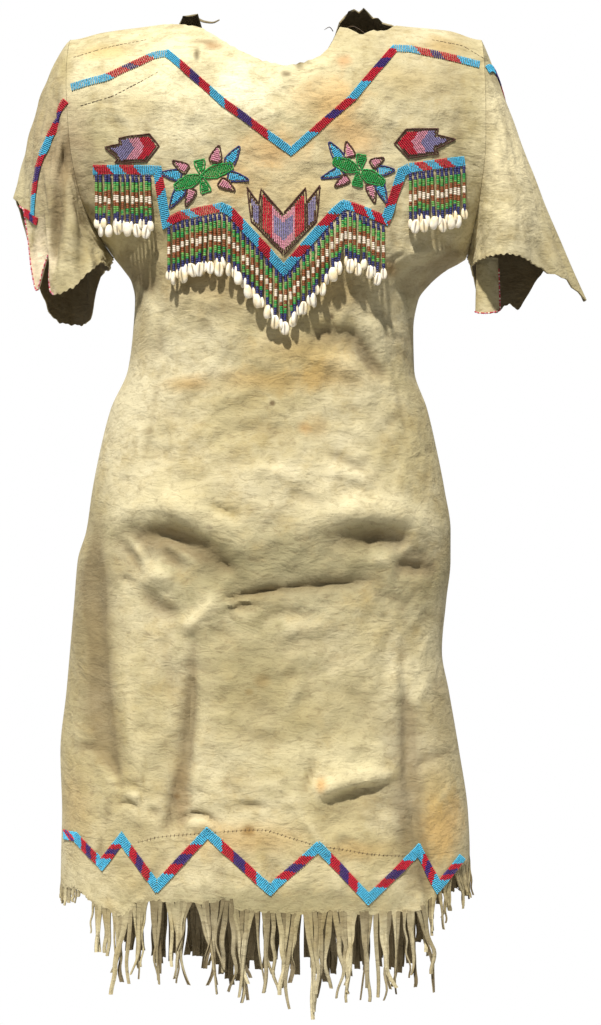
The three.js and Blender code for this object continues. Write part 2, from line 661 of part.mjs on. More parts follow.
// Bead fringe: a narrow strip under the band, with strands that hang straight down and end in shells.
function beadFringe({ from, to, strands, band: corners }) {
  const below = BAND_WIDTH / 2 + ROOT_STRIP.gap + ROOT_STRIP.width / 2;
  const beyond = 2;
  const clipped = [
    { x: from - beyond, z: lineOf(corners)(from - beyond) },
    ...corners.filter(({ x }) => x > from && x < to),
    { x: to + beyond, z: lineOf(corners)(to + beyond) },
  ];
  const route = moved(subdivide("front", clipped, BAND_STEP), -below);
  const edges = [moved(route, ROOT_STRIP.width / 2), moved(route, -ROOT_STRIP.width / 2)];
  const layer = (lift) => edges.map((edge) => edge.map(({ x, z }) => raisedPoint("front", x, z, lift)));
  const strip = shell(layer(ROOT_STRIP.over), layer(ROOT_STRIP.under));
  const hung = evenly(from, to, strands - 1).map((x, i) => {
    const z = lineOf(route)(x);
    const root = raisedPoint("front", x, z, (ROOT_STRIP.under + ROOT_STRIP.over) / 2).y;
    const clear = (height, lift) => Math.min(root, bodyPoint("front", x, height).y - lift);
    const end = z - BEAD_LENGTH;
    const face = clear(end, STRAND_LIFTS[i % 2]);
    const half = BEAD_STRAND / 2;
    const rows = [
      { at: [root, z], wide: half, deep: half },
      { at: [face, end], wide: half, deep: half },
      { at: [face, end - 0.42 * COWRIE.length], wide: COWRIE.width / 2, deep: COWRIE.depth / 2 },
      { at: [face, end - COWRIE.length], wide: COWRIE.tip, deep: COWRIE.tip },
    ];
    return strand(
      rows.map(({ at: [y, height], wide, deep }) => ({
        at: new THREE.Vector3(x, y, height), wide: wide * Math.SQRT2, deep: deep * Math.SQRT2,
      })),
      4,
    );
  });
  return joined([strip, ...hung]);
}

// Cut hide fringe: a strip parted from the hem, with strands that sway, clump and end at uneven lengths.
function hemFringe(side, columns, strands) {
  const [outer, inner] = bodyWall(side, BORDER_ROWS, columns);
  const under = (grid, drop) => grid.at(-1).map(({ x, y, z }) => new THREE.Vector3(x, y, z - drop));
  const strip = shell(
    [under(outer, SEAM), under(outer, FRINGE_STRIP)],
    [under(inner, SEAM), under(inner, FRINGE_STRIP)],
  );
  const roots = FRINGE_STRIP - HIDE;
  const edge = under(outer, roots).map((point, i) => point.clone().lerp(under(inner, roots)[i], 0.5));
  const lengths = [0];
  edge.slice(1).forEach((point, i) => lengths.push(lengths[i] + point.distanceTo(edge[i])));
  const whole = lengths.at(-1);
  const place = (distance) => {
    const i = clamp(lengths.findIndex((length) => length > distance) - 1, 0, edge.length - 2);
    const share = (distance - lengths[i]) / (lengths[i + 1] - lengths[i]);
    return edge[i].clone().lerp(edge[i + 1], share);
  };
  const spacing = (whole - 2 * FRINGE_MARGIN) / (strands - 1);
  const clump = 5;
  const hung = Array.from({ length: strands }, (_, k) => {
    const distance = FRINGE_MARGIN + k * spacing;
    const root = place(distance);
    const ahead = place(distance + HIDE).sub(place(distance - HIDE)).setZ(0).normalize();
    const pull = ((k % clump) - (clump - 1) / 2) * spacing * -0.3;
    const sway = 7 * Math.sin(0.23 * k) + 4 * Math.sin(0.61 * k + 1);
    const across = (2 * k) / (strands - 1) - 1;
    const shorter = 1 - (1 - (across < 0 ? FRINGE.left : FRINGE.right)) * Math.abs(across) ** 9;
    const long = (FRINGE.length + 12 * Math.sin(0.37 * k) + 11 * Math.sin(1.9 * k + 0.6)) * shorter;
    const away = side === "front" ? -1 : 1;
    const rows = [[0, 0, 0], [0.5, 0.7, 0.45], [1, 1, 1]];
    return strand(
      rows.map(([down, pulled, swayed]) => {
        const at = root.clone().addScaledVector(ahead, pull * pulled + sway * swayed);
        at.y += away * 5 * down * Math.sin(3 * down + k);
        at.z -= long * down;
        return { at, wide: (FRINGE.width / 2) * (1 - 0.3 * down), deep: 0.4 * HIDE };
      }),
      3,
      ahead,
    );
  });
  return joined([strip, ...hung]);
}

const dress = new THREE.Group();

// Adds a named piece in the colour and finish of its material.
function piece(name, geometry, color, roughness = 0.9) {
  const mesh = new THREE.Mesh(geometry, new THREE.MeshStandardMaterial({ color, roughness, metalness: 0 }));
  mesh.name = name;
  dress.add(mesh);
}

const HIDE_COLOR = 0xd8c896;
const BEAD_BLUE = 0x4fb8e0;
const BEAD_RED = 0xb32033;
const BEAD_GREEN = 0x1f8a4c;

piece("body_front", partAtSeam(bodyWall("front", BODY_ROWS, COLUMNS), -1, SEAM / 2), HIDE_COLOR);
piece("border_front", partAtSeam(bodyWall("front", BORDER_ROWS, COLUMNS), 0, -SEAM / 2), HIDE_COLOR);
piece("body_back", shell(...bodyWall("back", backRows, BACK_COLUMNS)), HIDE_COLOR);

const sleeves = { left: sleeve(CUFF_LEFT, EDGE_LEFT), right: sleeve(CUFF_RIGHT, EDGE_RIGHT) };
for (const [name, walls] of Object.entries(sleeves)) {
  piece(`sleeve_${name}`, shell(walls.outer, walls.inner, true), HIDE_COLOR);
}

piece("neck_band_front", band("front", NECK_BAND, BAND_WIDTH), BEAD_BLUE, 0.4);
piece("neck_band_back", band("back", NECK_BAND_BACK, BAND_WIDTH, LIFT.backBand), BEAD_BLUE, 0.4);
piece("yoke_band", band("front", YOKE_BAND, BAND_WIDTH), BEAD_BLUE, 0.4);
piece("hem_band_front", band("front", HEM_BAND, BAND_WIDTH, LIFT.hemBand), BEAD_RED, 0.4);
piece("hem_band_back", band("back", HEM_BAND_BACK, BAND_WIDTH, LIFT.backBand), BEAD_RED, 0.4);
for (const [name, places] of Object.entries(SLEEVE_BANDS)) {
  piece(`sleeve_band_${name}`, sleeveBand(sleeves[name], places, BAND_WIDTH), BEAD_RED, 0.4);
}

for (const row of MOTIFS) piece(row.name, motif(row), row.outline === "arrow" ? BEAD_RED : BEAD_GREEN, 0.4);
for (const row of BEAD_FRINGES) piece(row.name, beadFringe(row), BEAD_GREEN, 0.4);
piece("hem_fringe_front", hemFringe("front", COLUMNS, 66), HIDE_COLOR);
piece("hem_fringe_back", hemFringe("back", BACK_COLUMNS, 58), HIDE_COLOR);

export default dress;
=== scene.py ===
# %% [markdown]
# # A beaded hide dress
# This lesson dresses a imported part: a knee-length dress of soft brain-tanned hide, filled out as if it
# were worn, with bands and motifs of glass seed beads, bead fringes that end in cowrie shells, and a cut
# fringe at the hem. The part gives the frame, the sizes and the solids. Here each solid gets its surface.

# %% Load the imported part
import math

import bpy
import numpy as np
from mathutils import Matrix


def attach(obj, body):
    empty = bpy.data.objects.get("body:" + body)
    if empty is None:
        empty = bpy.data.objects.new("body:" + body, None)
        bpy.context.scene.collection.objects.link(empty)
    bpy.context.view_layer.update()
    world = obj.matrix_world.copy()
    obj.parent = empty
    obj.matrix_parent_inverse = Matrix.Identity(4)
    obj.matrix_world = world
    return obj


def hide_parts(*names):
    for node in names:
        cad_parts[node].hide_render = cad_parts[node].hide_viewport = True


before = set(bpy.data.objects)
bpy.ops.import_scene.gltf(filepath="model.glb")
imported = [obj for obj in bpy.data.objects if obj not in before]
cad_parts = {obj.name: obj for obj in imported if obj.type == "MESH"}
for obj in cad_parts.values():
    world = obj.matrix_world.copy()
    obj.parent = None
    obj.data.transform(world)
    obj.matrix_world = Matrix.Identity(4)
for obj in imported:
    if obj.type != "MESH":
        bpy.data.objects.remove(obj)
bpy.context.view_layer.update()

MM = 0.001  # the tables below are in millimetres, the scene is in metres

# %% [markdown]
# ## The camera
# The dress was seen from the front, level with its middle, from 2.6 m away. A picture of 601 by 1025
# pixels then shows 1.16 mm of the plane of the side seams in each pixel, which gives the lens.

# %% Camera
PICTURE = (601, 1025)
CAMERA_DISTANCE = 2600.0
MM_PER_PIXEL = 1.16
CAMERA_CENTER = (28.4, -571.3)
SENSOR = 36.0

camera_data = bpy.data.cameras.new("camera")
camera_data.sensor_width = SENSOR
camera_data.sensor_fit = "AUTO"
camera_data.lens = SENSOR * CAMERA_DISTANCE / (PICTURE[1] * MM_PER_PIXEL)
camera = bpy.data.objects.new("camera", camera_data)
camera.location = (CAMERA_CENTER[0] * MM, -CAMERA_DISTANCE * MM, CAMERA_CENTER[1] * MM)
camera.rotation_euler = (math.pi / 2, 0, 0)
bpy.context.scene.collection.objects.link(camera)
bpy.context.scene.camera = camera
print("lens:", round(camera_data.lens, 1), "mm")

# %% [markdown]
# ## Curves through short tables
# Every form below comes from a few measured rows. A smooth curve runs through them without overshooting:
# the slope at a row is the harmonic mean of the slopes beside it, and is zero where they change sign. What
# is sewn on is set out along a path by the distance walked on it, as a maker sets out stitches.

# %% Tables and curves
def table(names, rows):
    """Named columns of a short table, each an array with one number for each row."""
    return dict(zip(names.split(), np.array(rows, float).T))


def smooth(at, places, values):
    """Cubic h00*a + h10*span*ta + h01*b + h11*span*tb between rows, with harmonic-mean tangents."""
    order = np.argsort(places)
    places, values = places[order], values[order]
    slopes = np.diff(values) / np.diff(places)
    product, total = slopes[:-1] * slopes[1:], slopes[:-1] + slopes[1:]
    tangents = np.zeros_like(values)
    tangents[1:-1] = np.where(product > 0, 2 * product / np.where(total == 0, 1, total), 0)
    i = np.clip(np.searchsorted(places, at, side="right") - 1, 0, len(places) - 2)
    span = places[i + 1] - places[i]
    t = np.clip((at - places[i]) / span, 0, 1)
    start = (2 * t**3 - 3 * t**2 + 1) * values[i] + (t**3 - 2 * t**2 + t) * span * tangents[i]
    return start + (3 * t**2 - 2 * t**3) * values[i + 1] + (t**3 - t**2) * span * tangents[i + 1]


def unit(vectors):
    """Vectors divided by their own lengths."""
    return vectors / np.linalg.norm(vectors, axis=-1, keepdims=True)


def walk(path):
    """Distance walked along a path at each of its points: the sum of the lengths of its steps."""
    return np.concatenate([[0], np.cumsum(np.linalg.norm(np.diff(path, axis=0), axis=1))])


def points_at(at, walked, path):
    """Points of a path at some distances along it, straight between its own points."""
    return np.stack([np.interp(at, walked, column) for column in path.T], axis=-1)


# %% [markdown]
# ## The cut of the dress
# These are the part's own tables. A section at height z has a side seam on each side, a depth in front
# and behind, and a depth left at the armhole. The shoulder line, the necklines, the pieced seam above the
# border and the hem run across the body.

# %% Sizes of the dress
HIDE = 2.0  # thickness of the hide
SEAM = 0.3  # gap between sewn pieces
SHOULDER_ROUND = 112.0
SHOULDER_END = -24.0
ARMPIT = 276.0
BORDER = 930.0
BORDER_BEND = 90.0
HEM = 1003.0
FACE = {"front": -1.0, "back": 1.0}

SECTIONS = table("z left right front back edge curve", [
    [20, -237, 237, 90, 84, 66, 0.9],
    [-60, -237, 237, 100, 92, 74, 0.9],
    [-150, -232, 237, 112, 102, 76, 0.9],
    [-210, -222, 232, 118, 104, 62, 0.8],
    [-250, -205, 226, 121, 103, 34, 0.62],
    [-276, -188, 221, 122, 101, 0, 0.48],
    [-290, -177, 198, 121, 100, 0, 0.42],
    [-305, -167, 180, 119, 99, 0, 0.4],
    [-325, -163, 165, 117, 97, 0, 0.4],
    [-360, -165, 159, 114, 93, 0, 0.4],
    [-406, -171, 160, 112, 90, 0, 0.4],
    [-452, -191, 175, 114, 94, 0, 0.4],
    [-499, -203, 186, 121, 104, 0, 0.4],
    [-545, -212, 195, 130, 114, 0, 0.4],
    [-592, -219, 202, 132, 121, 0, 0.4],
    [-626, -229, 202, 128, 124, 0, 0.4],
    [-673, -233, 197, 127, 126, 0, 0.4],
    [-731, -238, 192, 129, 128, 0, 0.4],
    [-777, -242, 200, 131, 130, 0, 0.4],
    [-847, -249, 212, 135, 133, 0, 0.4],
    [-916, -247, 222, 139, 138, 0, 0.4],
    [-963, -248, 224, 142, 142, 0, 0.4],
    [-1040, -249, 224, 146, 148, 0, 0.4],
])
SHOULDER = table("x z", [
    [-237, SHOULDER_END], [-200, -16], [-140, -8], [-100, -2], [0, 0], [100, -2], [140, -8], [200, -14],
    [237, SHOULDER_END],
])
NECK = {
    "front": table("x rise", [
        [-140, 0], [-117, -8], [-86, -17], [-73, -27], [-57, -40], [-40, -52], [-15, -65], [11, -72],
        [33, -67], [50, -59], [63, -44], [68, -30], [71, -18], [81, -18], [98, -29], [107, -21],
        [126, -17], [140, 0],
    ]),
    "back": table("x rise", [
        [-140, 0], [-115, -3], [-108, 7], [-90, 10], [-84, -12], [-57, -34], [-15, -54], [11, -58],
        [33, -50], [55, -30], [68, -12], [76, 6], [92, 15], [104, 15], [118, 6], [140, 0],
    ]),
}
PIECED_SEAM = table("x z", [
    [-250, -934], [-155, -938], [-130, -930], [-91, -925], [-30, -920], [-8, -920], [12, -927],
    [42, -936], [108, -949], [158, -955], [230, -952],
])
HEM_LINE = {
    "front": table("x z", [
        [-250, -996], [-225, -991], [-205, -1003], [-165, -1017], [-155, -1002], [-130, -996], [-85, -998],
        [-50, -992], [-44, -1004], [20, -1009], [60, -1006], [95, -1010], [160, -1012], [185, -990],
        [205, -972], [230, -963],
    ]),
    "back": table("x z", [
        [-250, -996], [-200, -1004], [-140, -996], [-60, -1006], [30, -998], [110, -1008], [180, -992],
        [230, -963],
    ]),
}
print("sections:", len(SECTIONS["z"]), "from", SECTIONS["z"][0], "to", SECTIONS["z"][-1], "mm")

# %% [markdown]
# ## Folds and creases
# Hide folds softly, in ridges and troughs that bow, start and fade, and no two are alike. Each row below
# is one of them: from one end to the other, how far it bows, its width and its rise. The first list is the
# part's own large folds. The second adds the finer creases that only the surface needs, each with a width
# for either side, because a crease is often steep above and soft below.

# %% Folds of the part
# Start x, z, end x, z, bow, width and rise, all in mm.
FOLDS = {
    "front": [
        (40, -378, 128, -424, 14, 15, -5),
        (52, -398, 120, -444, 12, 15, 3),
        (-195, -590, -20, -616, 34, 22, 6),
        (-190, -630, -30, -652, 26, 22, -4),
        (22, -582, 190, -606, 26, 22, 6),
        (130, -627, 184, -637, 0, 16, -6),
        (-44, -660, 126, -648, 0, 14, -3),
        (-55, -660, -102, -704, 0, 15, 5),
        (-208, -622, -174, -868, -14, 24, -9),
        (-88, -752, -118, -930, 6, 17, -5),
        (-142, -812, -150, -918, -6, 16, 4),
        (42, -886, 144, -866, 8, 16, 5),
        (46, -910, 140, -892, 8, 16, -4),
        (190, -702, 146, -784, 0, 18, 6),
        (146, -760, 162, -1000, -6, 18, -10),
        (212, -272, 136, -322, 6, 15, -8),
        (216, -300, 138, -352, 4, 14, 4),
        (-182, -276, -132, -322, 4, 15, -6),
    ],
    "back": [
        (-150, -560, 120, -590, -30, 26, 6),
        (-170, -640, -120, -860, 14, 26, -8),
        (60, -700, 96, -960, -8, 24, -8),
        (-40, -760, -66, -980, 6, 22, 6),
        (150, -690, 168, -980, 0, 24, -7),
        (-90, -380, 70, -392, 10, 18, -4),
    ],
}

# %% Finer creases
# Start x, z, end x, z, bow, width below, width above and rise, all in mm.
CREASES = {
    "front": [
        # Under the right of the bust, a deep fold with a ridge beside it, and the tucks at the side.
        (36, -377, 76, -368, 3, 8, 7, -4.5),
        (70, -366, 100, -386, 4, 8, 7, -5),
        (94, -378, 126, -424, -5, 8, 7, -6),
        (92, -346, 136, -424, 6, 10, 8, 4.5),
        (52, -398, 112, -442, 12, 14, 10, 3),
        (124, -364, 158, -365, 0, 3, 2, 2.2),
        (120, -375, 160, -377, 2, 4, 4, -4.5),
        (128, -392, 162, -396, 3, 6, 5, -3),
        (121, -340, 137, -424, -2, 3, 4, -3),
        (136, -418, 142, -470, 0, 3, 3, -2.4),
        (226, -262, 150, -302, 5, 6, 5, -4),
        (206, -296, 146, -344, 4, 6, 5, -4),
        (190, -288, 146, -322, -2, 5, 6, 3.5),
        # The bulge of hide under the left arm and the dark tuck inside it.
        (-147, -328, -149, -382, 9, 9, 6, 5.5),
        (-133, -350, -127, -402, 0, 6, 5, -4.5),
        (-176, -292, -134, -330, 3, 5, 5, -4),
        (-164, -300, -150, -345, -3, 5, 5, -3),
        # The waist.
        (-118, -330, -60, -346, 4, 7, 9, 2.2),
        (-131, -400, -150, -530, 3, 3, 3, -2.6),
        (56, -508, 102, -530, 3, 4, 6, -4.2),
        (56, -522, 110, -544, 3, 8, 7, 3),
        (-98, -541, -68, -530, 2, 3.5, 3.5, -2),
        (-80, -518, -8, -521, 3, 5, 7, -2),
        (-182, -540, -160, -534, 3, 4, 4, -3.4),
        (-196, -505, -176, -545, 4, 7, 7, 2.5),
        (125, -481, 139, -461, 2, 5, 5, -3.4),
        (142, -444, 148, -494, 0, 3, 3, -2.4),
        (164, -450, 166, -494, 0, 3, 3, -2.4),
        (168, -496, 180, -503, 0, 4, 4, -4),
        (174, -505, 168, -560, 0, 3, 3, -2.4),
        (146, -528, 164, -526, 2, 4, 4, -2.6),
        (14, -549, 60, -572, 3, 8, 8, -4),
        (-74, -563, -36, -579, 2, 5, 4, -4.2),
        # The large hollow below the left hip's ridge, its rib and the bright bulge beside it.
        (-200, -584, -66, -602, 30, 9, 24, 5),
        (-196, -604, -46, -632, 20, 14, 13, -8),
        (-140, -592, -84, -614, 3, 9, 9, -3.5),
        (-128, -601, -84, -633, 3, 5, 4, 4.5),
        (-128, -613, -100, -637, 2, 5, 4, -4),
        (-172, -595, -143, -636, 6, 4.5, 4.5, 5),
        (-176, -606, -150, -640, 5, 4, 3, -3),
        (-150, -638, -112, -652, 4, 12, 13, 7.5),
        (-152, -652, -96, -690, -6, 12, 8, -6.5),
        (-180, -644, -151, -652, 2, 4, 3, -4),
        (-66, -662, -103, -704, 2, 7, 6, 5),
        (-64, -624, -42, -640, 2, 5, 4, -4),
        (-48, -640, -62, -656, 0, 5, 5, 3),
        (-74, -672, 10, -655, 2, 5, 3.5, -4.5),
        (-34, -661, 128, -647, 3, 6, 3.5, -4.6),
        (-66, -683, -10, -671, 2, 6, 3, -5),
        (-20, -692, 40, -684, 6, 8, 8, -2),
        (-8, -706, 70, -700, 6, 12, 10, 2),
        # The right hip's ridge, the hollow below it and the pinched crest at the side.
        (52, -588, 190, -602, 24, 9, 26, 5.5),
        (46, -612, 196, -630, 22, 13, 13, -8),
        (100, -612, 122, -589, 2, 4, 4, -3.4),
        (104, -622, 134, -628, 2, 7, 7, 4.5),
        (130, -634, 187, -632, 25, 6, 8, 5),
        (132, -629, 184, -637, 0, 7, 5, -7),
        (138, -645, 186, -648, 0, 8, 6, 3),
        (134, -692, 166, -655, 2, 4, 4, -2.6),
        (142, -706, 182, -666, 2, 4, 4, 2.6),
        (152, -712, 186, -680, 2, 4, 4, -2.4),
        (190, -690, 158, -738, 3, 7, 6, 5.5),
        (186, -724, 148, -792, 6, 8, 6, 5.5),
        (170, -745, 190, -778, 0, 7, 7, -4.5),
        # Long upright folds down both sides of the skirt.
        (-206, -600, -192, -740, -3, 9, 9, -6.5),
        (-191, -716, -176, -866, -6, 12, 6, -6.5),
        (-168, -730, -160, -860, 2, 10, 8, 4),
        (-226, -640, -214, -800, 4, 8, 8, 3),
        (-200, -560, -196, -700, -3, 16, 10, -6),
        (-88, -700, -100, -880, 2, 4, 9, -6),
        (-99, -842, -119, -936, -3, 3.5, 5, -4.5),
        (-80, -752, -88, -900, 2, 8, 6, 4),
        (-139, -822, -154, -932, 0, 2.5, 2.5, -3.4),
        (-148, -814, -136, -822, 0, 3, 3, -2),
        (140, -712, 145, -800, 0, 3, 7, -4),
        (145, -786, 146, -880, 0, 3, 8, -5),
        (146, -868, 162, -968, 0, 3, 7, -4.5),
        (132, -720, 138, -870, 0, 8, 8, 3),
        (148, -857, 210, -842, 4, 5, 5, -4.4),
        (166, -902, 197, -871, 1, 3, 2.5, -3.4),
        (176, -905, 204, -876, 1, 4, 5, 2.4),
        (188, -925, 212, -884, 2, 5, 4, -3.8),
        (148, -884, 174, -883, 2, 4, 4, -2.4),
        # The lower skirt: slits, ridges and arches over the border's seam.
        (-112, -742, -60, -752, 3, 7, 8, -2.8),
        (-56, -776, 10, -800, 6, 12, 14, -2.4),
        (12, -755, 29, -752, 2, 5, 5, -3),
        (30, -752, 4, -800, 2, 7, 6, 3),
        (45, -841, 29, -883, 2, 4, 3.5, -5.5),
        (54, -838, 38, -880, 2, 6, 6, 2.2),
        (20, -893, 60, -952, 3, 5, 5, 4.5),
        (10, -884, 30, -900, 2, 8, 8, 3),
        (40, -884, 148, -864, 5, 8, 16, 5),
        (46, -889, 148, -868, 3, 9, 4, -6.5),
        (66, -934, 86, -936, 2, 6, 6, -3.2),
        (90, -905, 150, -938, 2, 4, 4, -2),
        (-112, -917, -56, -920, 15, 4.5, 3.5, -6),
        (-104, -922, -60, -924, 12, 8, 6, 3.5),
        (-46, -896, -6, -895, 2, 5, 3.5, -4.2),
        (-58, -868, -36, -882, 0, 5, 5, -3),
        (-30, -870, 10, -876, 3, 7, 7, 2.4),
        (-142, -901, -126, -904, 0, 6, 5, -4.4),
        (-240, -834, -188, -838, 2, 4, 4, -5),
        (-192, -837, -171, -885, 5, 4, 5, -5),
        (-205, -850, -176, -890, 6, 6, 6, 2.6),
        (-178, -899, -149, -901, 7, 4.5, 3.5, -5.5),
        (-169, -872, -149, -879, 2, 6, 5, -4.4),
        (-166, -884, -148, -890, 2, 5, 5, 3),
        (-176, -878, -192, -936, -3, 5, 5, -3),
        (-192, -930, -200, -975, 0, 2.5, 4, -4.5),
        (160, -930, 172, -1020, 0, 3.5, 9, -7),
        (-120, -950, -156, -998, 2, 6, 6, -3),
        (-10, -940, 4, -996, 2, 7, 7, -2.8),
        (60, -950, 74, -1000, 2, 6, 6, 2.6),
        (-66, -940, -60, -992, 2, 7, 7, -2.4),
        (104, -985, 160, -962, 3, 5, 5, 2.2),
        (-60, -480, 30, -488, 5, 9, 9, -2.4),
        (-130, -452, -84, -470, -4, 7, 7, -2.4),
        (70, -470, 120, -500, 4, 8, 6, 2.6),
        (-150, -500, -110, -514, 4, 7, 6, -2.6),
        (-40, -520, 20, -536, 5, 8, 7, 2.6),
        (60, -548, 130, -560, 6, 8, 8, -2.4),
        (-128, -700, -112, -790, 3, 8, 8, -3),
        (0, -724, 90, -716, 5, 9, 10, -2.2),
        (70, -760, 118, -810, 4, 9, 9, -2.6),
        (-60, -812, 20, -836, 6, 10, 9, -2.6),
        (90, -820, 124, -846, 3, 8, 7, 3),
        (-76, -700, -40, -716, 3, 6, 6, -2.4),
        (110, -664, 150, -676, 4, 7, 6, -3),
        # The yoke: seams taken in at the shoulders and soft hollows beside the bust.
        (-233, -54, -143, -35, 4, 1.6, 1.6, -1.6),
        (175, -34, 243, -58, 3, 1.6, 1.6, -1.6),
        (-222, -115, -130, -77, 0, 2, 2, -1.4),
        (-50, -200, -20, -226, 4, 8, 8, -1.2),
        (-206, -120, -212, -220, 2, 6, 6, -3),
        (178, -78, 216, -84, 2, 8, 8, -3),
        (176, -108, 216, -92, 3, 8, 7, -3),
        (186, -130, 206, -138, 2, 9, 9, -2.4),
        (204, -100, 214, -240, -2, 6, 6, -3),
        (40, -120, 90, -86, 5, 10, 9, 1.8),
        (-110, -100, -60, -74, 6, 9, 9, -1.8),
        (-180, -120, -150, -160, 3, 8, 8, 2),
        (-140, -200, -134, -300, 2, 4, 5, -3.5),
        (134, -200, 128, -330, 2, 5, 4, -3.5),
    ],
    "back": [
        (-233, -54, -143, -35, 4, 1.6, 1.6, -1.6),
        (143, -35, 233, -54, 4, 1.6, 1.6, -1.6),
        (-130, -150, 100, -170, 12, 9, 12, -3),
        (-60, -230, -150, -270, 6, 8, 8, 2.6),
        (90, -240, 180, -300, -6, 8, 7, -4),
        (-176, -290, -120, -340, 4, 7, 6, -4.4),
        (-60, -300, 40, -330, 10, 12, 12, -3),
        (-80, -360, 60, -350, 8, 6, 9, -3.6),
        (-100, -378, 90, -392, 10, 9, 14, 4.5),
        (-90, -392, 84, -410, 10, 10, 6, -5),
        (-60, -450, 40, -456, 6, 6, 8, -3),
        (100, -470, 150, -540, 4, 7, 8, -3.4),
        (-150, -480, -190, -560, -4, 8, 8, -3.4),
        (-170, -560, -20, -590, 24, 10, 22, 5),
        (-160, -574, -16, -606, 20, 14, 8, -6),
        (10, -584, 150, -576, 20, 9, 22, 5),
        (16, -598, 150, -590, 18, 13, 8, -5.5),
        (-90, -630, -110, -760, 4, 6, 8, 3.4),
        (0, -680, 20, -800, 5, 6, 8, -3.4),
        (130, -640, 150, -760, 4, 8, 6, 4),
        (-200, -640, -186, -900, 6, 7, 10, -5.5),
        (-30, -820, -44, -960, 4, 4, 5, -4),
        (70, -790, 100, -940, 6, 5, 4, -4.4),
        (112, -760, 150, -980, 4, 8, 6, 4),
        (-150, -860, -120, -960, 4, 4, 6, -3.6),
        (-110, -890, -50, -906, 10, 5, 4, -4.6),
        (16, -884, 74, -880, 9, 5, 4, -4.4),
        (-20, -740, 60, -760, 8, 14, 12, -2.6),
        (186, -700, 206, -930, 2, 7, 8, -4),
        (-206, -110, -214, -220, 2, 7, 7, -3),
        (200, -110, 214, -230, -2, 7, 7, -3),
    ],
}
FOLD_FADE, CREASE_FADE = 6, 2  # powers: the large folds end abruptly, the creases die away
CREASE_RISE = 1.2  # every crease of the body is this many times as high as its row says


def relief(rows, fade, x, z):
    """Sum of rise * (1 - |2t - 1|^fade) * exp(-(off / width)^2), t along a row and off across its bow."""
    total = np.zeros(np.broadcast(x, z).shape)
    for x0, z0, x1, z1, bow, *widths, rise in rows:
        dx, dz = x1 - x0, z1 - z0
        long = math.hypot(dx, dz)
        t = ((x - x0) * dx + (z - z0) * dz) / long**2
        off = ((z - z0) * dx - (x - x0) * dz) / long - bow * 4 * t * (1 - t)
        width = np.where((off > 0) == (dx > 0), widths[-1], widths[0])
        total += rise * np.clip(1 - np.abs(2 * t - 1) ** fade, 0, 1) * np.exp(-((off / width) ** 2))
    return total


RUMPLE = 0.22  # height of one wave of the uneven skin
RUMPLE_WAVES = 34
RUMPLE_LENGTHS = (17, 70)
rumple_rng = np.random.default_rng(5)
rumple_waves = np.stack([
    rumple_rng.uniform(0, 2 * math.pi, RUMPLE_WAVES), rumple_rng.uniform(*RUMPLE_LENGTHS, RUMPLE_WAVES),
    rumple_rng.uniform(0, 2 * math.pi, RUMPLE_WAVES),
], axis=-1)


def rumple(u, v):
    """Sum of low sine waves of 17 to 70 mm, each in its own direction: a skin is never quite even."""
    total = np.zeros(np.broadcast(u, v).shape)
    for heading, length, phase in rumple_waves:
        along = u * math.cos(heading) + v * math.sin(heading)
        total += RUMPLE * np.sin(2 * math.pi * along / length + phase)
    return total


print("folds:", sum(map(len, FOLDS.values())), "creases:", sum(map(len, CREASES.values())))

# %% [markdown]
# ## The body's surface
# A point of the front or back has a turn, from the left side seam at -90 degrees to the right one at 90,
# and a height. Its depth is the edge's depth plus the section's depth times (1 - sin(turn)^2)^curve, and
# it rounds over to the shoulder line on a quarter ellipse.

# %% Body surface
TURN_SPAN = 200.0  # mm of skin for one radian of turn, for waves that follow the skin
BACK_SHIFT = 900.0  # the back's waves are read this far away, so that they differ from the front's
RAGGED = 1.2  # size of the knife's wobble along a neck or hem


def section(name, z):
    """Column of the section table at height z."""
    return smooth(z, SECTIONS["z"], SECTIONS[name])


def ragged(x, size, seed):
    """Small unevenness of a knife-cut edge: five sine waves of 5 to 23 mm."""
    rng = np.random.default_rng(seed)
    total = 0
    for _ in range(5):
        total = total + rng.uniform(-1, 1) * np.sin(2 * math.pi * x / rng.uniform(5, 23) + rng.uniform(0, 6))
    return size * total / 2


def neck_rise(side, x):
    """Height of the cut neckline over the shoulder line, straight between its rows and a little ragged."""
    cut = np.interp(x, NECK[side]["x"], NECK[side]["rise"])
    return cut + np.clip(np.abs(cut) / 8, 0, 1) * ragged(x, RAGGED, 3 if side == "front" else 4)


def shoulder_top(side, x):
    """Height at which the rounding ends: the shoulder line, or the neckline where that stands higher."""
    cut = np.interp(x, NECK[side]["x"], NECK[side]["rise"])
    return smooth(x, SHOULDER["x"], SHOULDER["z"]) + np.maximum(0, cut)


def folds_at(side, x, z):
    """Rise of all folds and creases of a side."""
    return relief(FOLDS[side], FOLD_FADE, x, z) + CREASE_RISE * relief(CREASES[side], CREASE_FADE, x, z)


def body_depth(side, across, x, z):
    """Half depth at width x and height z, where across is the sine of the turn."""
    edge = section("edge", z)
    full = edge + (section(side, z) - edge) * np.maximum(0, 1 - across**2) ** section("curve", z)
    skin = TURN_SPAN * np.arcsin(np.clip(across, -1, 1))
    uneven = folds_at(side, x, z) + rumple(skin + BACK_SHIFT * FACE[side], z)
    below = np.clip((shoulder_top(side, x) - z) / SHOULDER_ROUND, 0, 1)
    return (full + uneven * (1 - across**4)) * np.sqrt(1 - (1 - below) ** 2)


def width_at(turn, z):
    """x = middle + half width * sin(turn)."""
    left, right = section("left", z), section("right", z)
    return (left + right + (right - left) * np.sin(turn)) / 2


def turn_at(x, z):
    """Turn whose width is x at height z."""
    left, right = section("left", z), section("right", z)
    return np.arcsin(np.clip((2 * x - left - right) / (right - left), -0.999, 0.999))


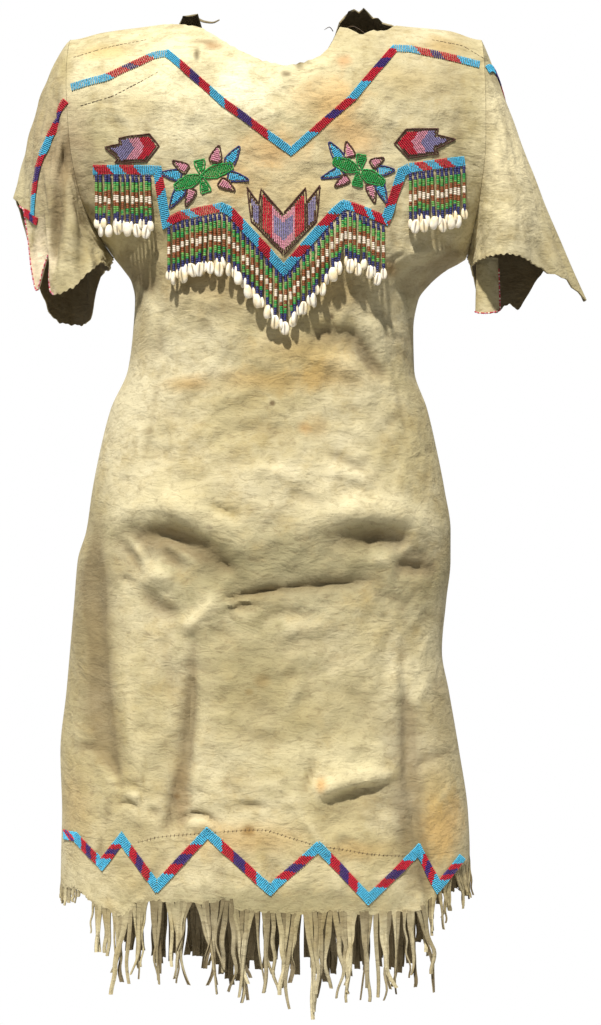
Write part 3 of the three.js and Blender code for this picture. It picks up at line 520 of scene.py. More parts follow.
def body_at(side, turn, z):
    """Point on the outside at a turn and a height."""
    x = width_at(turn, z)
    y = FACE[side] * (body_depth(side, np.sin(turn), x, z) + SEAM / 2)
    return np.stack(np.broadcast_arrays(x, y, z), axis=-1)


def body_frame(side, x, z):
    """Point and outward normal at width x and height z: normal = d/dturn cross d/dz."""
    turn = turn_at(x, z)
    around = body_at(side, turn + 0.006, z) - body_at(side, turn - 0.006, z)
    up = body_at(side, turn, z + 1.0) - body_at(side, turn, z - 1.0)
    normal = unit(np.cross(around, up))
    normal *= np.sign(normal[..., 1:2]) * FACE[side]
    return body_at(side, turn, z), normal


def row_height(side, x, depth):
    """Height of a row at width x: from the neckline through level rows to the pieced seam and the hem."""
    seam = np.interp(x, PIECED_SEAM["x"], PIECED_SEAM["z"]) if side == "front" else -BORDER
    hem = np.interp(x, HEM_LINE[side]["x"], HEM_LINE[side]["z"]) + ragged(x, RAGGED, 8)
    z = smooth(x, SHOULDER["x"], SHOULDER["z"]) + neck_rise(side, x)
    levels = [0, ARMPIT, BORDER - BORDER_BEND, BORDER, HEM]
    heights = [z, -ARMPIT, BORDER_BEND - BORDER, seam, hem]
    for i in range(len(levels) - 1):
        share = np.clip((depth - levels[i]) / (levels[i + 1] - levels[i]), 0, 1)
        z = z + share * (heights[i + 1] - heights[i])
    return z


def body_grid(side, rows, turns):
    """Grid of outside points: x from z and z from x in four passes, because the rows aren't level."""
    depth, turn = np.meshgrid(rows, turns, indexing="ij")
    z = -depth
    for _ in range(4):
        x = width_at(turn, z)
        z = row_height(side, x, depth)
    return body_at(side, turn, z)


front_middle = body_at("front", np.array([0.0]), np.array([-500.0]))[0]
print("front at z -500:", np.round(front_middle, 1), "mm")

# %% [markdown]
# ## Walls from grids
# Hide has two sides and a cut edge, so a wall is the outside grid, the same grid moved in by the
# thickness, and strips of faces round the rim. Whole index arrays make the faces, and one call fills the
# mesh. Faces are turned outwards by the sign of the volume they enclose. Beads, shells and threads are
# stacks of rings, closed by a face at each end.

# %% Mesh helpers
def add_piece(name, points, faces, material, sharp=None, attributes=None):
    """Mesh object from points in mm and arrays of faces, with its place in its mesh."""
    mesh = bpy.data.meshes.new(name)
    mesh.vertices.add(len(points))
    mesh.vertices.foreach_set("co", (points * MM).astype(np.float32).ravel())
    corners = np.concatenate([array.ravel() for array in faces])
    totals = np.concatenate([np.full(len(array), array.shape[1]) for array in faces])
    mesh.loops.add(len(corners))
    mesh.loops.foreach_set("vertex_index", corners.astype(np.int32))
    mesh.polygons.add(len(totals))
    mesh.polygons.foreach_set("loop_start", (np.cumsum(totals) - totals).astype(np.int32))
    mesh.polygons.foreach_set("use_smooth", np.ones(len(totals), bool))
    for key, values in (attributes or {}).items():
        wide = values.ndim > 1
        layer = mesh.attributes.new(key, "FLOAT_COLOR" if wide else "FLOAT", "POINT")
        layer.data.foreach_set("color" if wide else "value", values.astype(np.float32).ravel())
    mesh.update(calc_edges=True)
    mesh.validate()
    if sharp:
        mesh.set_sharp_from_angle(angle=math.radians(sharp))
    mesh.materials.append(material)
    piece = bpy.data.objects.new(name, mesh)
    bpy.context.scene.collection.objects.link(piece)
    triangles = int((totals - 2).sum())
    print(f"{name}: {triangles} triangles")
    return piece


def outward(points, faces):
    """The faces, all turned round if the sum of a . (b cross c) over them is negative."""
    volume = 0.0
    for f in faces:
        volume += np.einsum("ij,ij", points[f[:, 0]], np.cross(points[f[:, 1]], points[f[:, 2]]))
        if f.shape[1] == 4:
            volume += np.einsum("ij,ij", points[f[:, 0]], np.cross(points[f[:, 2]], points[f[:, 3]]))
    return faces if volume > 0 else [f[:, ::-1] for f in faces]


def ring_faces(rows, sides):
    """Quads between closed rings of points, row after row, and one face for each end."""
    index = np.arange(rows * sides).reshape(rows, sides)
    after = np.roll(index, -1, axis=1)
    skin = np.stack([index[:-1], after[:-1], after[1:], index[1:]], -1).reshape(-1, 4)
    return [skin, np.stack([index[0][::-1], index[-1]])]


def wall_faces(rows, columns, wrap=False):
    """Quads of a closed wall between two grids of rows by columns: both sides and the rim."""
    index = np.arange(2 * rows * columns).reshape(2, rows, columns)
    if wrap:
        index = np.concatenate([index, index[:, :, :1]], axis=2)
    out, ins = index

    def quads(*corners):
        return np.stack(corners, axis=-1).reshape(-1, 4)

    faces = [
        quads(out[:-1, :-1], out[1:, :-1], out[1:, 1:], out[:-1, 1:]),
        quads(ins[:-1, :-1], ins[:-1, 1:], ins[1:, 1:], ins[1:, :-1]),
        quads(out[0, 1:], ins[0, 1:], ins[0, :-1], out[0, :-1]),
        quads(out[-1, :-1], ins[-1, :-1], ins[-1, 1:], out[-1, 1:]),
    ]
    if not wrap:
        faces.append(quads(out[:-1, 0], ins[:-1, 0], ins[1:, 0], out[1:, 0]))
        faces.append(quads(out[1:, -1], ins[1:, -1], ins[:-1, -1], out[:-1, -1]))
    return [np.concatenate(faces)]


def inside_shade(points):
    """0 for the first half of a wall's points, which is its outside, and 1 for the inside: its share of
    painted shade.
    """
    return (np.arange(len(points)) >= len(points) // 2).astype(float)


def grid_normals(grid, wrap=False):
    """Cross product of the differences along a grid's rows and columns, in unit length."""
    if wrap:
        padded = np.concatenate([grid[:, -1:], grid, grid[:, :1]], axis=1)
        across = (padded[:, 2:] - padded[:, :-2]) / 2
    else:
        across = np.gradient(grid, axis=1)
    return unit(np.cross(np.gradient(grid, axis=0), across))


# %% [markdown]
# ## What the hide looks like
# Brain-tanned hide is scraped on both sides, worked soft and left napped, so it has no shine, only a
# faint pale sheen at grazing angles. Its cream ground is clouded with tan, darker where smoke, hands and
# water have reached it, and fine stretch wrinkles run across the skin; some darker patches are painted
# shade. Each point of a wall carries two values that the material reads: whether it is on the inner side,
# which is painted dark as shade inside the dress, and how high it stands in a fold, for painted shade in
# the troughs and a painted highlight on the ridges. One small function adds each node with its settings
# and links.

# %% Node helper and colours
def node(tree, kind, values=None, links=None, **settings):
    """New node with attributes from settings, constants from values and sockets joined from links."""
    made = tree.nodes.new(kind)
    for name, value in settings.items():
        setattr(made, name, value)
    for socket, value in (values or {}).items():
        made.inputs[socket].default_value = value
    for socket, source in (links or {}).items():
        tree.links.new(source, made.inputs[socket])
    return made


def linear(code):
    """Linear RGBA of an sRGB hex colour: c/12.92 below 0.04045, else ((c + 0.055)/1.055)^2.4."""
    channels = [int(code[i : i + 2], 16) / 255 for i in (1, 3, 5)]
    return (*(c / 12.92 if c <= 0.04045 else ((c + 0.055) / 1.055) ** 2.4 for c in channels), 1.0)


def new_material(name):
    """Material with an empty node tree."""
    material = bpy.data.materials.new(name)
    material.use_nodes = True
    material.node_tree.nodes.clear()
    return material, material.node_tree


# %% Hide material
# The last of the next four colours darkens the nap's flecks and the wrinkles' troughs, and is also the
# painted shade in the folds' troughs; the colour after them is a painted highlight on the folds' ridges.
HIDE_PALE, HIDE_MID, HIDE_TAN, HIDE_DARK_AND_PAINTED_SHADE = "#c9bf9d", "#b0a47c", "#9d8a5a", "#66553a"
HIDE_PAINTED_HIGHLIGHT = "#d6cca6"
INSIDE_SHADE_COLOUR, INSIDE_SHADE_SHARE = "#4a3b27", 0.8  # the inside is painted dark, as shade inside the dress
# Places where the skin's colour changes, and patches of painted shade: centre x, y, z, half sizes in x and
# z, colour and strength.
STAINS_AND_PAINTED_SHADE = [
    (-110, -60, -70, 150, 80, "#e4dab2", 0.75),
    (20, -90, -90, 110, 60, "#e6dbb2", 0.55),
    (264, -40, -170, 56, 110, "#efe2b8", 0.75),
    (-34, -100, -104, 40, 36, "#f6edca", 0.85),
    (-112, -80, -110, 30, 64, "#ece2ba", 0.60),
    (60, -110, -112, 44, 34, "#c69a58", 0.60),
    (84, -90, -150, 40, 30, "#c2955a", 0.50),
    (0, -112, -168, 46, 26, "#bf935a", 0.60),
    (-45, -110, -200, 46, 30, "#bf9c62", 0.55),
    (30, -112, -215, 60, 40, "#b8a06a", 0.45),
    (76, -70, -66, 11, 9, "#c08a58", 0.60),
    (-70, -70, -46, 14, 7, "#94683c", 0.65),
    (-88, -70, -56, 5, 12, "#4c3b25", 0.80),
    (-80, -70, -40, 20, 5, "#7a5c38", 0.60),
    (27, -80, -68, 7, 11, "#4c3b25", 0.75),
    (13, -80, -82, 7, 5, "#5c4930", 0.70),
    (-10, -80, -62, 12, 5, "#8a6a44", 0.60),
    (190, -60, -42, 34, 16, "#a58448", 0.55),
    (150, -60, -90, 50, 24, "#a89260", 0.45),
    (-190, -60, -48, 44, 14, "#c0a05a", 0.50),
    (-150, -60, -120, 34, 20, "#b39d66", 0.40),
    (-240, -30, -70, 14, 30, "#94854c", 0.60),
    (-6, -112, -424, 76, 18, "#a68a52", 0.70),
    (70, -112, -416, 56, 22, "#a88c56", 0.65),
    (-96, -112, -428, 36, 13, "#ad8848", 0.60),
    (30, -112, -392, 70, 26, "#b3965a", 0.55),
    (-60, -112, -300, 110, 60, "#8e7444", 0.60),
    (60, -112, -320, 60, 40, "#8e7444", 0.50),
    (-14, -130, -757, 12, 11, "#855c26", 1.0),
    (-28, -130, -769, 6, 5, "#8c6834", 0.90),
    (63, -120, -353, 4, 6, "#4c3b25", 0.90),
    (-3, -115, -450, 4, 4, "#5c4930", 0.80),
    (-71, -125, -588, 5, 4, "#4c3b25", 0.85),
    (-109, -135, -885, 5, 4, "#6a4a24", 0.85),
    (-29, -138, -920, 10, 9, "#5a4226", 0.90),
    (51, -133, -871, 20, 22, "#d6c9a0", 0.70),
    (51, -133, -871, 9, 12, "#bb8740", 1.0),
    (33, -112, -478, 10, 8, "#ac8450", 0.60),
    (48, -112, -476, 16, 14, "#a68a58", 0.50),
    (-30, -138, -930, 80, 24, "#b08e54", 0.55),
    (90, -138, -944, 60, 14, "#ab8a50", 0.50),
    (190, -80, -924, 36, 46, "#c49c58", 0.65),
    (180, -80, -880, 30, 40, "#ab9156", 0.50),
    (-226, -60, -900, 30, 60, "#a48a56", 0.50),
    (-104, -138, -885, 12, 60, "#8d6f42", 0.60),
    # The sixteen rows from here, all but the pale band, darken the skirt's sides, middle and border, partly
    # as the skin's own tone and partly as painted shade, and paint shade under the hips and on the left
    # sleeve.
    (-205, -60, -680, 40, 150, "#928660", 0.55),
    (-238, -40, -180, 40, 90, "#86684c", 0.50),
    (-150, -100, -950, 70, 60, "#94845a", 0.45),
    (0, -130, -790, 170, 110, "#948a60", 0.35),
    (160, -90, -650, 44, 70, "#918866", 0.50),
    (0, -125, -640, 190, 60, "#8b8462", 0.75),
    (-20, -125, -735, 100, 60, "#928862", 0.60),
    (30, -125, -790, 120, 60, "#a0946c", 0.40),
    (-150, -125, -840, 60, 60, "#9a8e68", 0.45),
    (0, -138, -1000, 210, 24, "#857d5c", 0.75),
    # Painted shade in the hollows under the hips.
    (-150, -125, -590, 60, 18, "#857c5a", 0.55),
    (120, -125, -590, 70, 18, "#857c5a", 0.60),
    # Painted shade over the left sleeve and a narrow painted shadow where its outer part folds over.
    (-262, -40, -140, 34, 70, "#94825f", 0.60),
    (-236, -40, -220, 10, 70, "#85744f", 0.60),
    (40, -125, -840, 90, 26, "#cfc59e", 0.55),
    (190, -60, -800, 30, 80, "#948662", 0.55),
    (128, -70, -298, 13, 12, "#9c7236", 0.60),
    (-150, -60, -370, 20, 40, "#98865c", 0.45),
    (20, 130, -300, 90, 120, "#a58c5a", 0.40),
    (-70, 130, -700, 110, 90, "#9a8458", 0.45),
    (110, 140, -880, 70, 70, "#a8854c", 0.45),
]
# Patches that stay pale on the inside too, where an edge is turned out or the sun reaches in.
TURNED_AND_SUNLIT_PATCHES = [
    (-268, -40, -290, 22, 50, "#eddcbc", 0.95),
    (-290, 10, -262, 20, 40, "#e6d6b2", 0.95),
]
BLOT_DEPTH = 80.0  # half size of a patch front to back, so that it stays on its own panel
BLOT_FRAY = 2.0  # how much of the noise is added to the distance
BLOT_EDGE, BLOT_CORE = 2.2, 1.15  # that sum where a patch begins and where it is full


def blot(tree, place, noise, colour, row):
    """Mix in a row's colour where the distance from its centre, frayed by noise, is small."""
    x, y, z, wide, high, code, strength = row
    centre, sizes = np.array([x, y, z]) * MM, np.array([wide, BLOT_DEPTH, high]) * MM
    shift = node(tree, "ShaderNodeVectorMath", {1: centre}, {0: place}, operation="SUBTRACT")
    stretch = node(tree, "ShaderNodeVectorMath", {1: 1 / sizes}, {0: shift.outputs[0]}, operation="MULTIPLY")
    away = node(tree, "ShaderNodeVectorMath", {}, {0: stretch.outputs[0]}, operation="LENGTH")
    away = away.outputs["Value"]
    frayed = node(tree, "ShaderNodeMath", {1: BLOT_FRAY}, {0: noise, 2: away}, operation="MULTIPLY_ADD")
    share = node(
        tree, "ShaderNodeMapRange", {1: BLOT_EDGE, 2: BLOT_CORE, 3: 0.0, 4: strength},
        {0: frayed.outputs[0]}, interpolation_type="SMOOTHSTEP",
    )
    mix = node(tree, "ShaderNodeMix", {7: linear(code)}, {0: share.outputs[0], 6: colour}, data_type="RGBA")
    return mix.outputs[2]


def share_of(tree, source, low, high, most, code, colour):
    """Mix in a colour as a source goes from low to high."""
    share = node(tree, "ShaderNodeMapRange", {1: low, 2: high, 3: 0.0, 4: most}, {0: source})
    mix = node(tree, "ShaderNodeMix", {7: linear(code)}, {0: share.outputs[0]}, data_type="RGBA")
    if isinstance(colour, str):
        mix.inputs[6].default_value = linear(colour)
    else:
        tree.links.new(colour, mix.inputs[6])
    return mix.outputs[2]


def noise_at(tree, place, scale, detail, roughness, stretch=(1, 1, 1), turn=0.0, distortion=0.0):
    """Noise over a stretched and turned place."""
    moved = node(tree, "ShaderNodeMapping", {"Scale": stretch, "Rotation": (0, turn, 0)}, {"Vector": place})
    values = {"Scale": scale, "Detail": detail, "Roughness": roughness, "Distortion": distortion}
    return node(tree, "ShaderNodeTexNoise", values, {"Vector": moved.outputs[0]}).outputs[0]


def hide_material():
    """Clouds over a cream ground, stains, painted shade in the folds' troughs and on the inside, a painted
    highlight on the ridges, wrinkles across the skin and a short nap.

    A noise of scale s has features of about 1 / s metres: clouds of 125 mm, patches of 32 mm, dents of
    45 mm, wrinkles of 16 mm, and a nap of 4 mm, which is drawn coarser than real fibres so that it shows.
    """
    material, tree = new_material("brain_tanned_hide")
    place = node(tree, "ShaderNodeTexCoord").outputs["Object"]
    cloud = noise_at(tree, place, 8.0, 5.0, 0.62)
    patchy = noise_at(tree, place, 31.0, 5.0, 0.66)
    fibre = noise_at(tree, place, 260.0, 4.0, 0.72, (1.0, 1.0, 1.7))
    wrinkle = noise_at(tree, place, 62.0, 6.0, 0.68, (1.0, 1.0, 2.6), 0.12, 0.8)
    dent = noise_at(tree, place, 22.0, 3.0, 0.55, (1.0, 1.0, 1.5), -0.2, 0.6)
    colour = share_of(tree, cloud, 0.40, 0.64, 1.0, HIDE_PALE, HIDE_MID)
    colour = share_of(tree, patchy, 0.48, 0.76, 0.7, HIDE_TAN, colour)
    for row in STAINS_AND_PAINTED_SHADE:
        colour = blot(tree, place, patchy, colour, row)
    fold = node(tree, "ShaderNodeAttribute", attribute_name="fold", attribute_type="GEOMETRY").outputs["Fac"]
    # Painted shade in the troughs of the folds and a painted highlight on their ridges, by each point's fold
    # height.
    colour = share_of(tree, fold, 0.0, -8.0, 0.62, HIDE_DARK_AND_PAINTED_SHADE, colour)
    colour = share_of(tree, fold, 0.5, 7.0, 0.45, HIDE_PAINTED_HIGHLIGHT, colour)
    colour = share_of(tree, fibre, 0.56, 0.72, 0.42, HIDE_DARK_AND_PAINTED_SHADE, colour)
    colour = share_of(tree, wrinkle, 0.5, 0.33, 0.36, HIDE_DARK_AND_PAINTED_SHADE, colour)
    # The inside is painted dark, as shade inside the dress.
    shade_share = node(tree, "ShaderNodeAttribute", attribute_name="inside_shade", attribute_type="GEOMETRY")
    colour = share_of(tree, shade_share.outputs["Fac"], 0.0, 1.0, INSIDE_SHADE_SHARE, INSIDE_SHADE_COLOUR, colour)
    for row in TURNED_AND_SUNLIT_PATCHES:
        colour = blot(tree, place, patchy, colour, row)
    dents = node(tree, "ShaderNodeBump", {"Strength": 0.9, "Distance": 0.0045}, {"Height": dent})
    folds = node(
        tree, "ShaderNodeBump", {"Strength": 0.8, "Distance": 0.0017},
        {"Height": wrinkle, "Normal": dents.outputs[0]},
    )
    nap = node(
        tree, "ShaderNodeBump", {"Strength": 0.6, "Distance": 0.0005},
        {"Height": fibre, "Normal": folds.outputs[0]},
    )
    shader = node(
        tree, "ShaderNodeBsdfPrincipled",
        {"Roughness": 0.92, "Specular IOR Level": 0.2, "Sheen Weight": 0.08, "Sheen Roughness": 0.5,
         "Sheen Tint": linear("#fff3d6")},
        {"Base Color": colour, "Normal": nap.outputs[0]},
    )
    node(tree, "ShaderNodeOutputMaterial", {}, {"Surface": shader.outputs[0]})
    return material


hide = hide_material()
print("hide nodes:", len(hide.node_tree.nodes))

# %% [markdown]
# ## The hide walls
# The front reaches from the shoulders to the pieced seam, the border from there to the hem, and the back
# is one skin. Rows crowd together over the rounded shoulder, where the skin turns fastest. The inside
# point keeps its width at an armhole, so that body and sleeve stay apart there.

# %% Front, border and back
ROUND_ROWS = SHOULDER_ROUND * (1 - np.cos(np.linspace(0, math.pi / 2, 44)))
FRONT_TURNS = np.radians(np.linspace(-90, 90, 161))
BACK_TURNS = np.radians(np.linspace(-90, 90, 121))


def body_wall(name, side, rows, turns, seam_row=None, rise=0.0):
    """Closed hide wall, its seam row moved by half a seam's gap, with its inside and folds as values."""
    outer = body_grid(side, rows, turns)
    normals = grid_normals(outer)
    normals *= np.sign(np.sum(normals[..., 1]) * FACE[side])
    inner = outer - HIDE * normals
    at_armhole = np.asarray(rows) < ARMPIT
    for column in (0, -1):
        inner[at_armhole, column, 0] = outer[at_armhole, column, 0]
    inner[..., 1] = FACE[side] * np.maximum(SEAM / 2, FACE[side] * inner[..., 1])
    if seam_row is not None:
        outer[seam_row, :, 2] += rise
        inner[seam_row, :, 2] += rise
    points = np.concatenate([outer.reshape(-1, 3), inner.reshape(-1, 3)])
    faces = outward(points, wall_faces(*outer.shape[:2]))
    fold = folds_at(side, points[:, 0], points[:, 2])
    return add_piece(
        name, points, faces, hide, sharp=50, attributes={"inside_shade": inside_shade(points), "fold": fold},
    )


front_rows = np.concatenate([ROUND_ROWS, np.linspace(SHOULDER_ROUND, BORDER, 208)[1:]])
front = body_wall("front_hide", "front", front_rows, FRONT_TURNS, -1, SEAM / 2)
border = body_wall("border_hide", "front", np.linspace(BORDER, HEM, 20), FRONT_TURNS, 0, -SEAM / 2)
back_rows = np.concatenate([ROUND_ROWS[::2], np.linspace(SHOULDER_ROUND, HEM, 178)[1:]])
back = body_wall("back_hide", "back", back_rows, BACK_TURNS)
for piece, name in ((front, "body_front"), (border, "border_front"), (back, "body_back")):
    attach(piece, "root")
    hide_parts(name)

# %% [markdown]
# ## The sleeves
# Each sleeve is a tube from the armhole to a cuff that was cut by eye and never hemmed, so its edge
# dips into flaps. A point on it lies on the line from the armhole to the cuff at the same angle round,
# and the edge's reach and drop grow with the square of the way down. The angle starts at the top of the
# shoulder and goes round by the front.

# %% Sleeve surface
CUFFS = {
    "left": dict(side=-1, top=(304, -206), under=(193, -284), depth=82, puff=9, rumple=1.0),
    "right": dict(side=1, top=(322, -262), under=(226, -283), depth=80, puff=2.5, rumple=0.4),
}
CUFF_EDGES = {
    "left": table("angle out drop", [
        [0, 0, 2], [18, -13, 18], [36, -20, 106], [50, -26, 60], [60, -24, 98], [90, -20, 74],
        [120, -12, 34], [150, -5, 7], [180, 0, 4], [210, 0, 7], [225, 0, 16], [240, 0, 76],
        [270, -8, 102], [300, -12, 116], [315, -14, 108], [340, -8, 40], [360, 0, 2],
    ]),
    "right": table("angle out drop", [
        [0, 38, 64], [16, 16, 44], [45, -14, 24], [90, -16, 8], [135, -8, 4], [180, 0, 4], [200, 2, 14],
        [212, 6, 52], [240, 10, 56], [262, 10, 48], [274, 10, 57], [300, 24, 12], [335, 26, 18],
        [360, 38, 64],
    ]),
}
for side in CUFFS:
    CUFFS[side]["edge"] = CUFF_EDGES[side]
# Creases of both sleeves: start x, z, end x, z, bow, two widths and rise, all in mm.
SLEEVE_CREASES = [
    (-246, -76, -262, -196, 6, 7, 9, -4),
    (-262, -110, -282, -250, 4, 7, 7, 3.5),
    (-226, -115, -246, -206, 2, 11, 5, -11),
    (-246, -198, -252, -300, 0, 11, 5, -12),
    (-233, -130, -236, -300, 2, 8, 6, 5),
    (-268, -230, -276, -330, 2, 6, 6, -3),
    (-226, -200, -218, -330, 4, 6, 6, -3),
    (-214, -260, -204, -330, 2, 6, 6, 3),
    (236, -90, 238, -229, -3, 10, 9, -4),
    (262, -150, 276, -262, -3, 12, 12, -1.6),
    (282, -170, 302, -270, -3, 10, 10, 1.6),
    (308, -252, 338, -312, -3, 6, 6, 3),
    (296, -262, 330, -318, -3, 5, 5, -3),
]
SLEEVE_START = 0.22  # share of the sleeve over which its creases grow from nothing at the armhole


def sleeve_base(cuff, angle, s):
    """Point between armhole and cuff: start + s * (end - start) + a swell of the upper side."""
    s = np.clip(s, 0, 1)
    share = (1 - np.cos(angle)) / 2
    line = section("left" if cuff["side"] < 0 else "right", np.array([0.0]))
    top = float(row_height("front", line, np.array([0.0]))[0])
    z = top + (-ARMPIT - top) * share
    below = np.clip((SHOULDER_END - z) / SHOULDER_ROUND, 0, 1)
    armhole = section("edge", z) * np.sqrt(1 - (1 - below) ** 2)
    degrees = np.degrees(angle) % 360
    out = smooth(degrees, cuff["edge"]["angle"], cuff["edge"]["out"])
    drop = smooth(degrees, cuff["edge"]["angle"], cuff["edge"]["drop"]) + ragged(degrees, 1.6, 21)
    start = np.stack(np.broadcast_arrays(
        section("left" if cuff["side"] < 0 else "right", z) + cuff["side"] * SEAM,
        -np.sign(np.sin(angle)) * armhole, z,
    ), axis=-1)
    end = np.stack(np.broadcast_arrays(
        cuff["side"] * (cuff["top"][0] + share * (cuff["under"][0] - cuff["top"][0]) + out * s**2),
        -cuff["depth"] * np.sin(angle),
        cuff["top"][1] + share * (cuff["under"][1] - cuff["top"][1]) - drop * s**2,
    ), axis=-1)
    swell = cuff["puff"] * np.sin(math.pi * s**0.7) * (1 - share) ** 2
    s = np.broadcast_to(s, share.shape)[..., None]
    return start + s * (end - start) + np.stack([cuff["side"] * swell, 0 * swell, swell / 2], axis=-1)


def sleeve_normal(point_at, cuff, angle, s):
    """Outward normal of a sleeve surface: d/dangle cross d/ds, turned by the side it is on."""
    around = point_at(cuff, angle + 0.012, s) - point_at(cuff, angle - 0.012, s)
    above, below = np.clip(s - 0.006, 0, 1), np.clip(s + 0.006, 0, 1)
    down = point_at(cuff, angle, below) - point_at(cuff, angle, above)
    return cuff["side"] * unit(np.cross(around, down))


def sleeve_at(cuff, angle, s):
    """Base point moved along its normal by the creases and the unevenness of the skin."""
    base = sleeve_base(cuff, angle, s)
    grown = np.clip(s / SLEEVE_START, 0, 1) ** 2
    uneven = relief(SLEEVE_CREASES, CREASE_FADE, base[..., 0], base[..., 2])
    uneven = uneven + cuff["rumple"] * rumple(90 * angle, 120 * s)
    return base + (uneven * grown)[..., None] * sleeve_normal(sleeve_base, cuff, angle, s)


# %% Sleeve walls
SLEEVE_ANGLES = np.linspace(0, 2 * math.pi, 168, endpoint=False)
SLEEVE_STEPS = np.linspace(0, 1, 52) ** 0.9


def sleeve_wall(name, cuff):
    """Closed tube of hide with an inside one thickness in."""
    s, angle = np.meshgrid(SLEEVE_STEPS, SLEEVE_ANGLES, indexing="ij")
    outer = sleeve_at(cuff, angle, s)
    normals = grid_normals(outer, wrap=True)
    normals *= np.sign(np.sum(normals * sleeve_normal(sleeve_base, cuff, angle, s)))
    inner = outer - HIDE * normals
    inner[0, :, 0] = outer[0, :, 0]
    points = np.concatenate([outer.reshape(-1, 3), inner.reshape(-1, 3)])
    faces = outward(points, wall_faces(*outer.shape[:2], wrap=True))
    fold = relief(SLEEVE_CREASES, CREASE_FADE, points[:, 0], points[:, 2])
    return add_piece(
        name, points, faces, hide, sharp=50, attributes={"inside_shade": inside_shade(points), "fold": fold},
    )


sleeve_pieces = {name: sleeve_wall(f"{name}_sleeve_hide", cuff) for name, cuff in CUFFS.items()}
for name, piece in sleeve_pieces.items():
    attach(piece, "root")
    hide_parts(f"sleeve_{name}")

# %% [markdown]
# ## A rolled tab in the right cuff
# Inside the right cuff a spare end of hide hangs down, rolled round toward the front and bound with beads
# along its free edge. It is half a cylinder with a slight lean.

# %% Rolled tab
TAB = dict(x=243.0, y=-27.0, radius=14.0, depth=8.0, top=-279.0, bottom=-340.0)
TAB_STEPS = 40


def tab_at(angle, z):
    """Point on the outside: (x + radius * sin(angle), y - depth * cos(angle), z)."""
    lean = (z - TAB["bottom"]) / (TAB["top"] - TAB["bottom"])
    x = TAB["x"] + (TAB["radius"] - 1.5 * lean) * np.sin(angle)
    return np.stack(np.broadcast_arrays(x, TAB["y"] - TAB["depth"] * np.cos(angle) + 3 * lean, z), axis=-1)


tab_angle, tab_z = np.meshgrid(
    np.radians(np.linspace(-95, 95, TAB_STEPS)), np.linspace(TAB["top"], TAB["bottom"], TAB_STEPS),
)
tab_z = tab_z - np.linspace(0, 1, TAB_STEPS)[:, None] * 2.5 * np.cos(1.3 * tab_angle + 0.4)
tab_outer = tab_at(tab_angle, tab_z)
tab_normals = grid_normals(tab_outer)
tab_normals *= -np.sign(np.sum(tab_normals[:, TAB_STEPS // 2, 1]))
tab_points = np.concatenate([tab_outer.reshape(-1, 3), (tab_outer - HIDE * tab_normals).reshape(-1, 3)])
# The tab's inner side gets most of the inside's painted shade.
tab = add_piece(
    "cuff_tab_hide", tab_points, outward(tab_points, wall_faces(TAB_STEPS, TAB_STEPS)), hide, sharp=50,
    attributes={"inside_shade": 0.8 * inside_shade(tab_points)},
)
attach(tab, "root")

# %% [markdown]
# ## Seed beads
# A seed bead is a short piece of glass tube with rounded ends, here 2.1 mm across and 1.5 mm long. Six or
# seven of them on a thread make one stitch across a band, and the stitches lie side by side along it.
# There are thousands, so each is a barrel of a few faces. All beads of a band are one mesh, and each
# carries its own colour, a little lighter or darker than its neighbour, as glass from one batch is.

# %% Bead colours and material
GLASS = {
    "sky": "#48aed2", "red": "#b90f2e", "purple": "#3d2670", "navy": "#252a66", "pink": "#cf8ea0",
    "lavender": "#847ca4", "brown": "#48261e", "green": "#1c8f42", "leaf": "#68a04c", "cream": "#e6d8c4",
    "copper": "#8c4c24", "white": "#d8d4ca",
}
GLASS_SPREAD = 0.09


def glass_material():
    """Opaque glass: the bead's own colour, dusty in places, with a slightly worn surface."""
    material, tree = new_material("opaque_glass_beads")
    place = node(tree, "ShaderNodeTexCoord").outputs["Object"]
    colour = node(tree, "ShaderNodeAttribute", attribute_name="glass", attribute_type="GEOMETRY")
    grime = node(tree, "ShaderNodeTexNoise", {"Scale": 420.0, "Detail": 2.0}, {"Vector": place})
    share = node(tree, "ShaderNodeMapRange", {1: 0.5, 2: 0.75, 3: 0.0, 4: 0.2}, {0: grime.outputs[0]})
    dusty = node(
        tree, "ShaderNodeMix", {7: linear("#6a5a42")}, {0: share.outputs[0], 6: colour.outputs["Color"]},
        data_type="RGBA",
    )
    rough = node(tree, "ShaderNodeMapRange", {1: 0.3, 2: 0.7, 3: 0.3, 4: 0.5}, {0: grime.outputs[0]})
    shader = node(
        tree, "ShaderNodeBsdfPrincipled", {"IOR": 1.5, "Specular IOR Level": 0.4},
        {"Base Color": dusty.outputs[2], "Roughness": rough.outputs[0]},
    )
    node(tree, "ShaderNodeOutputMaterial", {}, {"Surface": shader.outputs[0]})
    return material


glass = glass_material()

# %% Bead meshes
BEAD_LENGTH = 1.5
BEAD_ACROSS = 2.1
BEAD_LIFT = 1.05  # centre of a bead above the hide
BEAD_SIZE = (BEAD_LENGTH, BEAD_ACROSS, BEAD_ACROSS)


def barrel(sides, profile):
    """Points and faces of a turned form: rings of radius r at place a along axis 0, closed by end faces."""
    turn = np.linspace(0, 2 * math.pi, sides, endpoint=False)
    rings = [np.stack([np.full(sides, a), r * np.cos(turn), r * np.sin(turn)], -1) for a, r in profile]
    points = np.concatenate(rings)
    return points, outward(points, ring_faces(len(profile), sides))


SEED_BEAD = barrel(5, [(-0.5, 0.32), (0.0, 0.5), (0.5, 0.32)])
STRAND_BEAD = barrel(6, [(-0.5, 0.26), (-0.3, 0.48), (0.3, 0.48), (0.5, 0.26)])


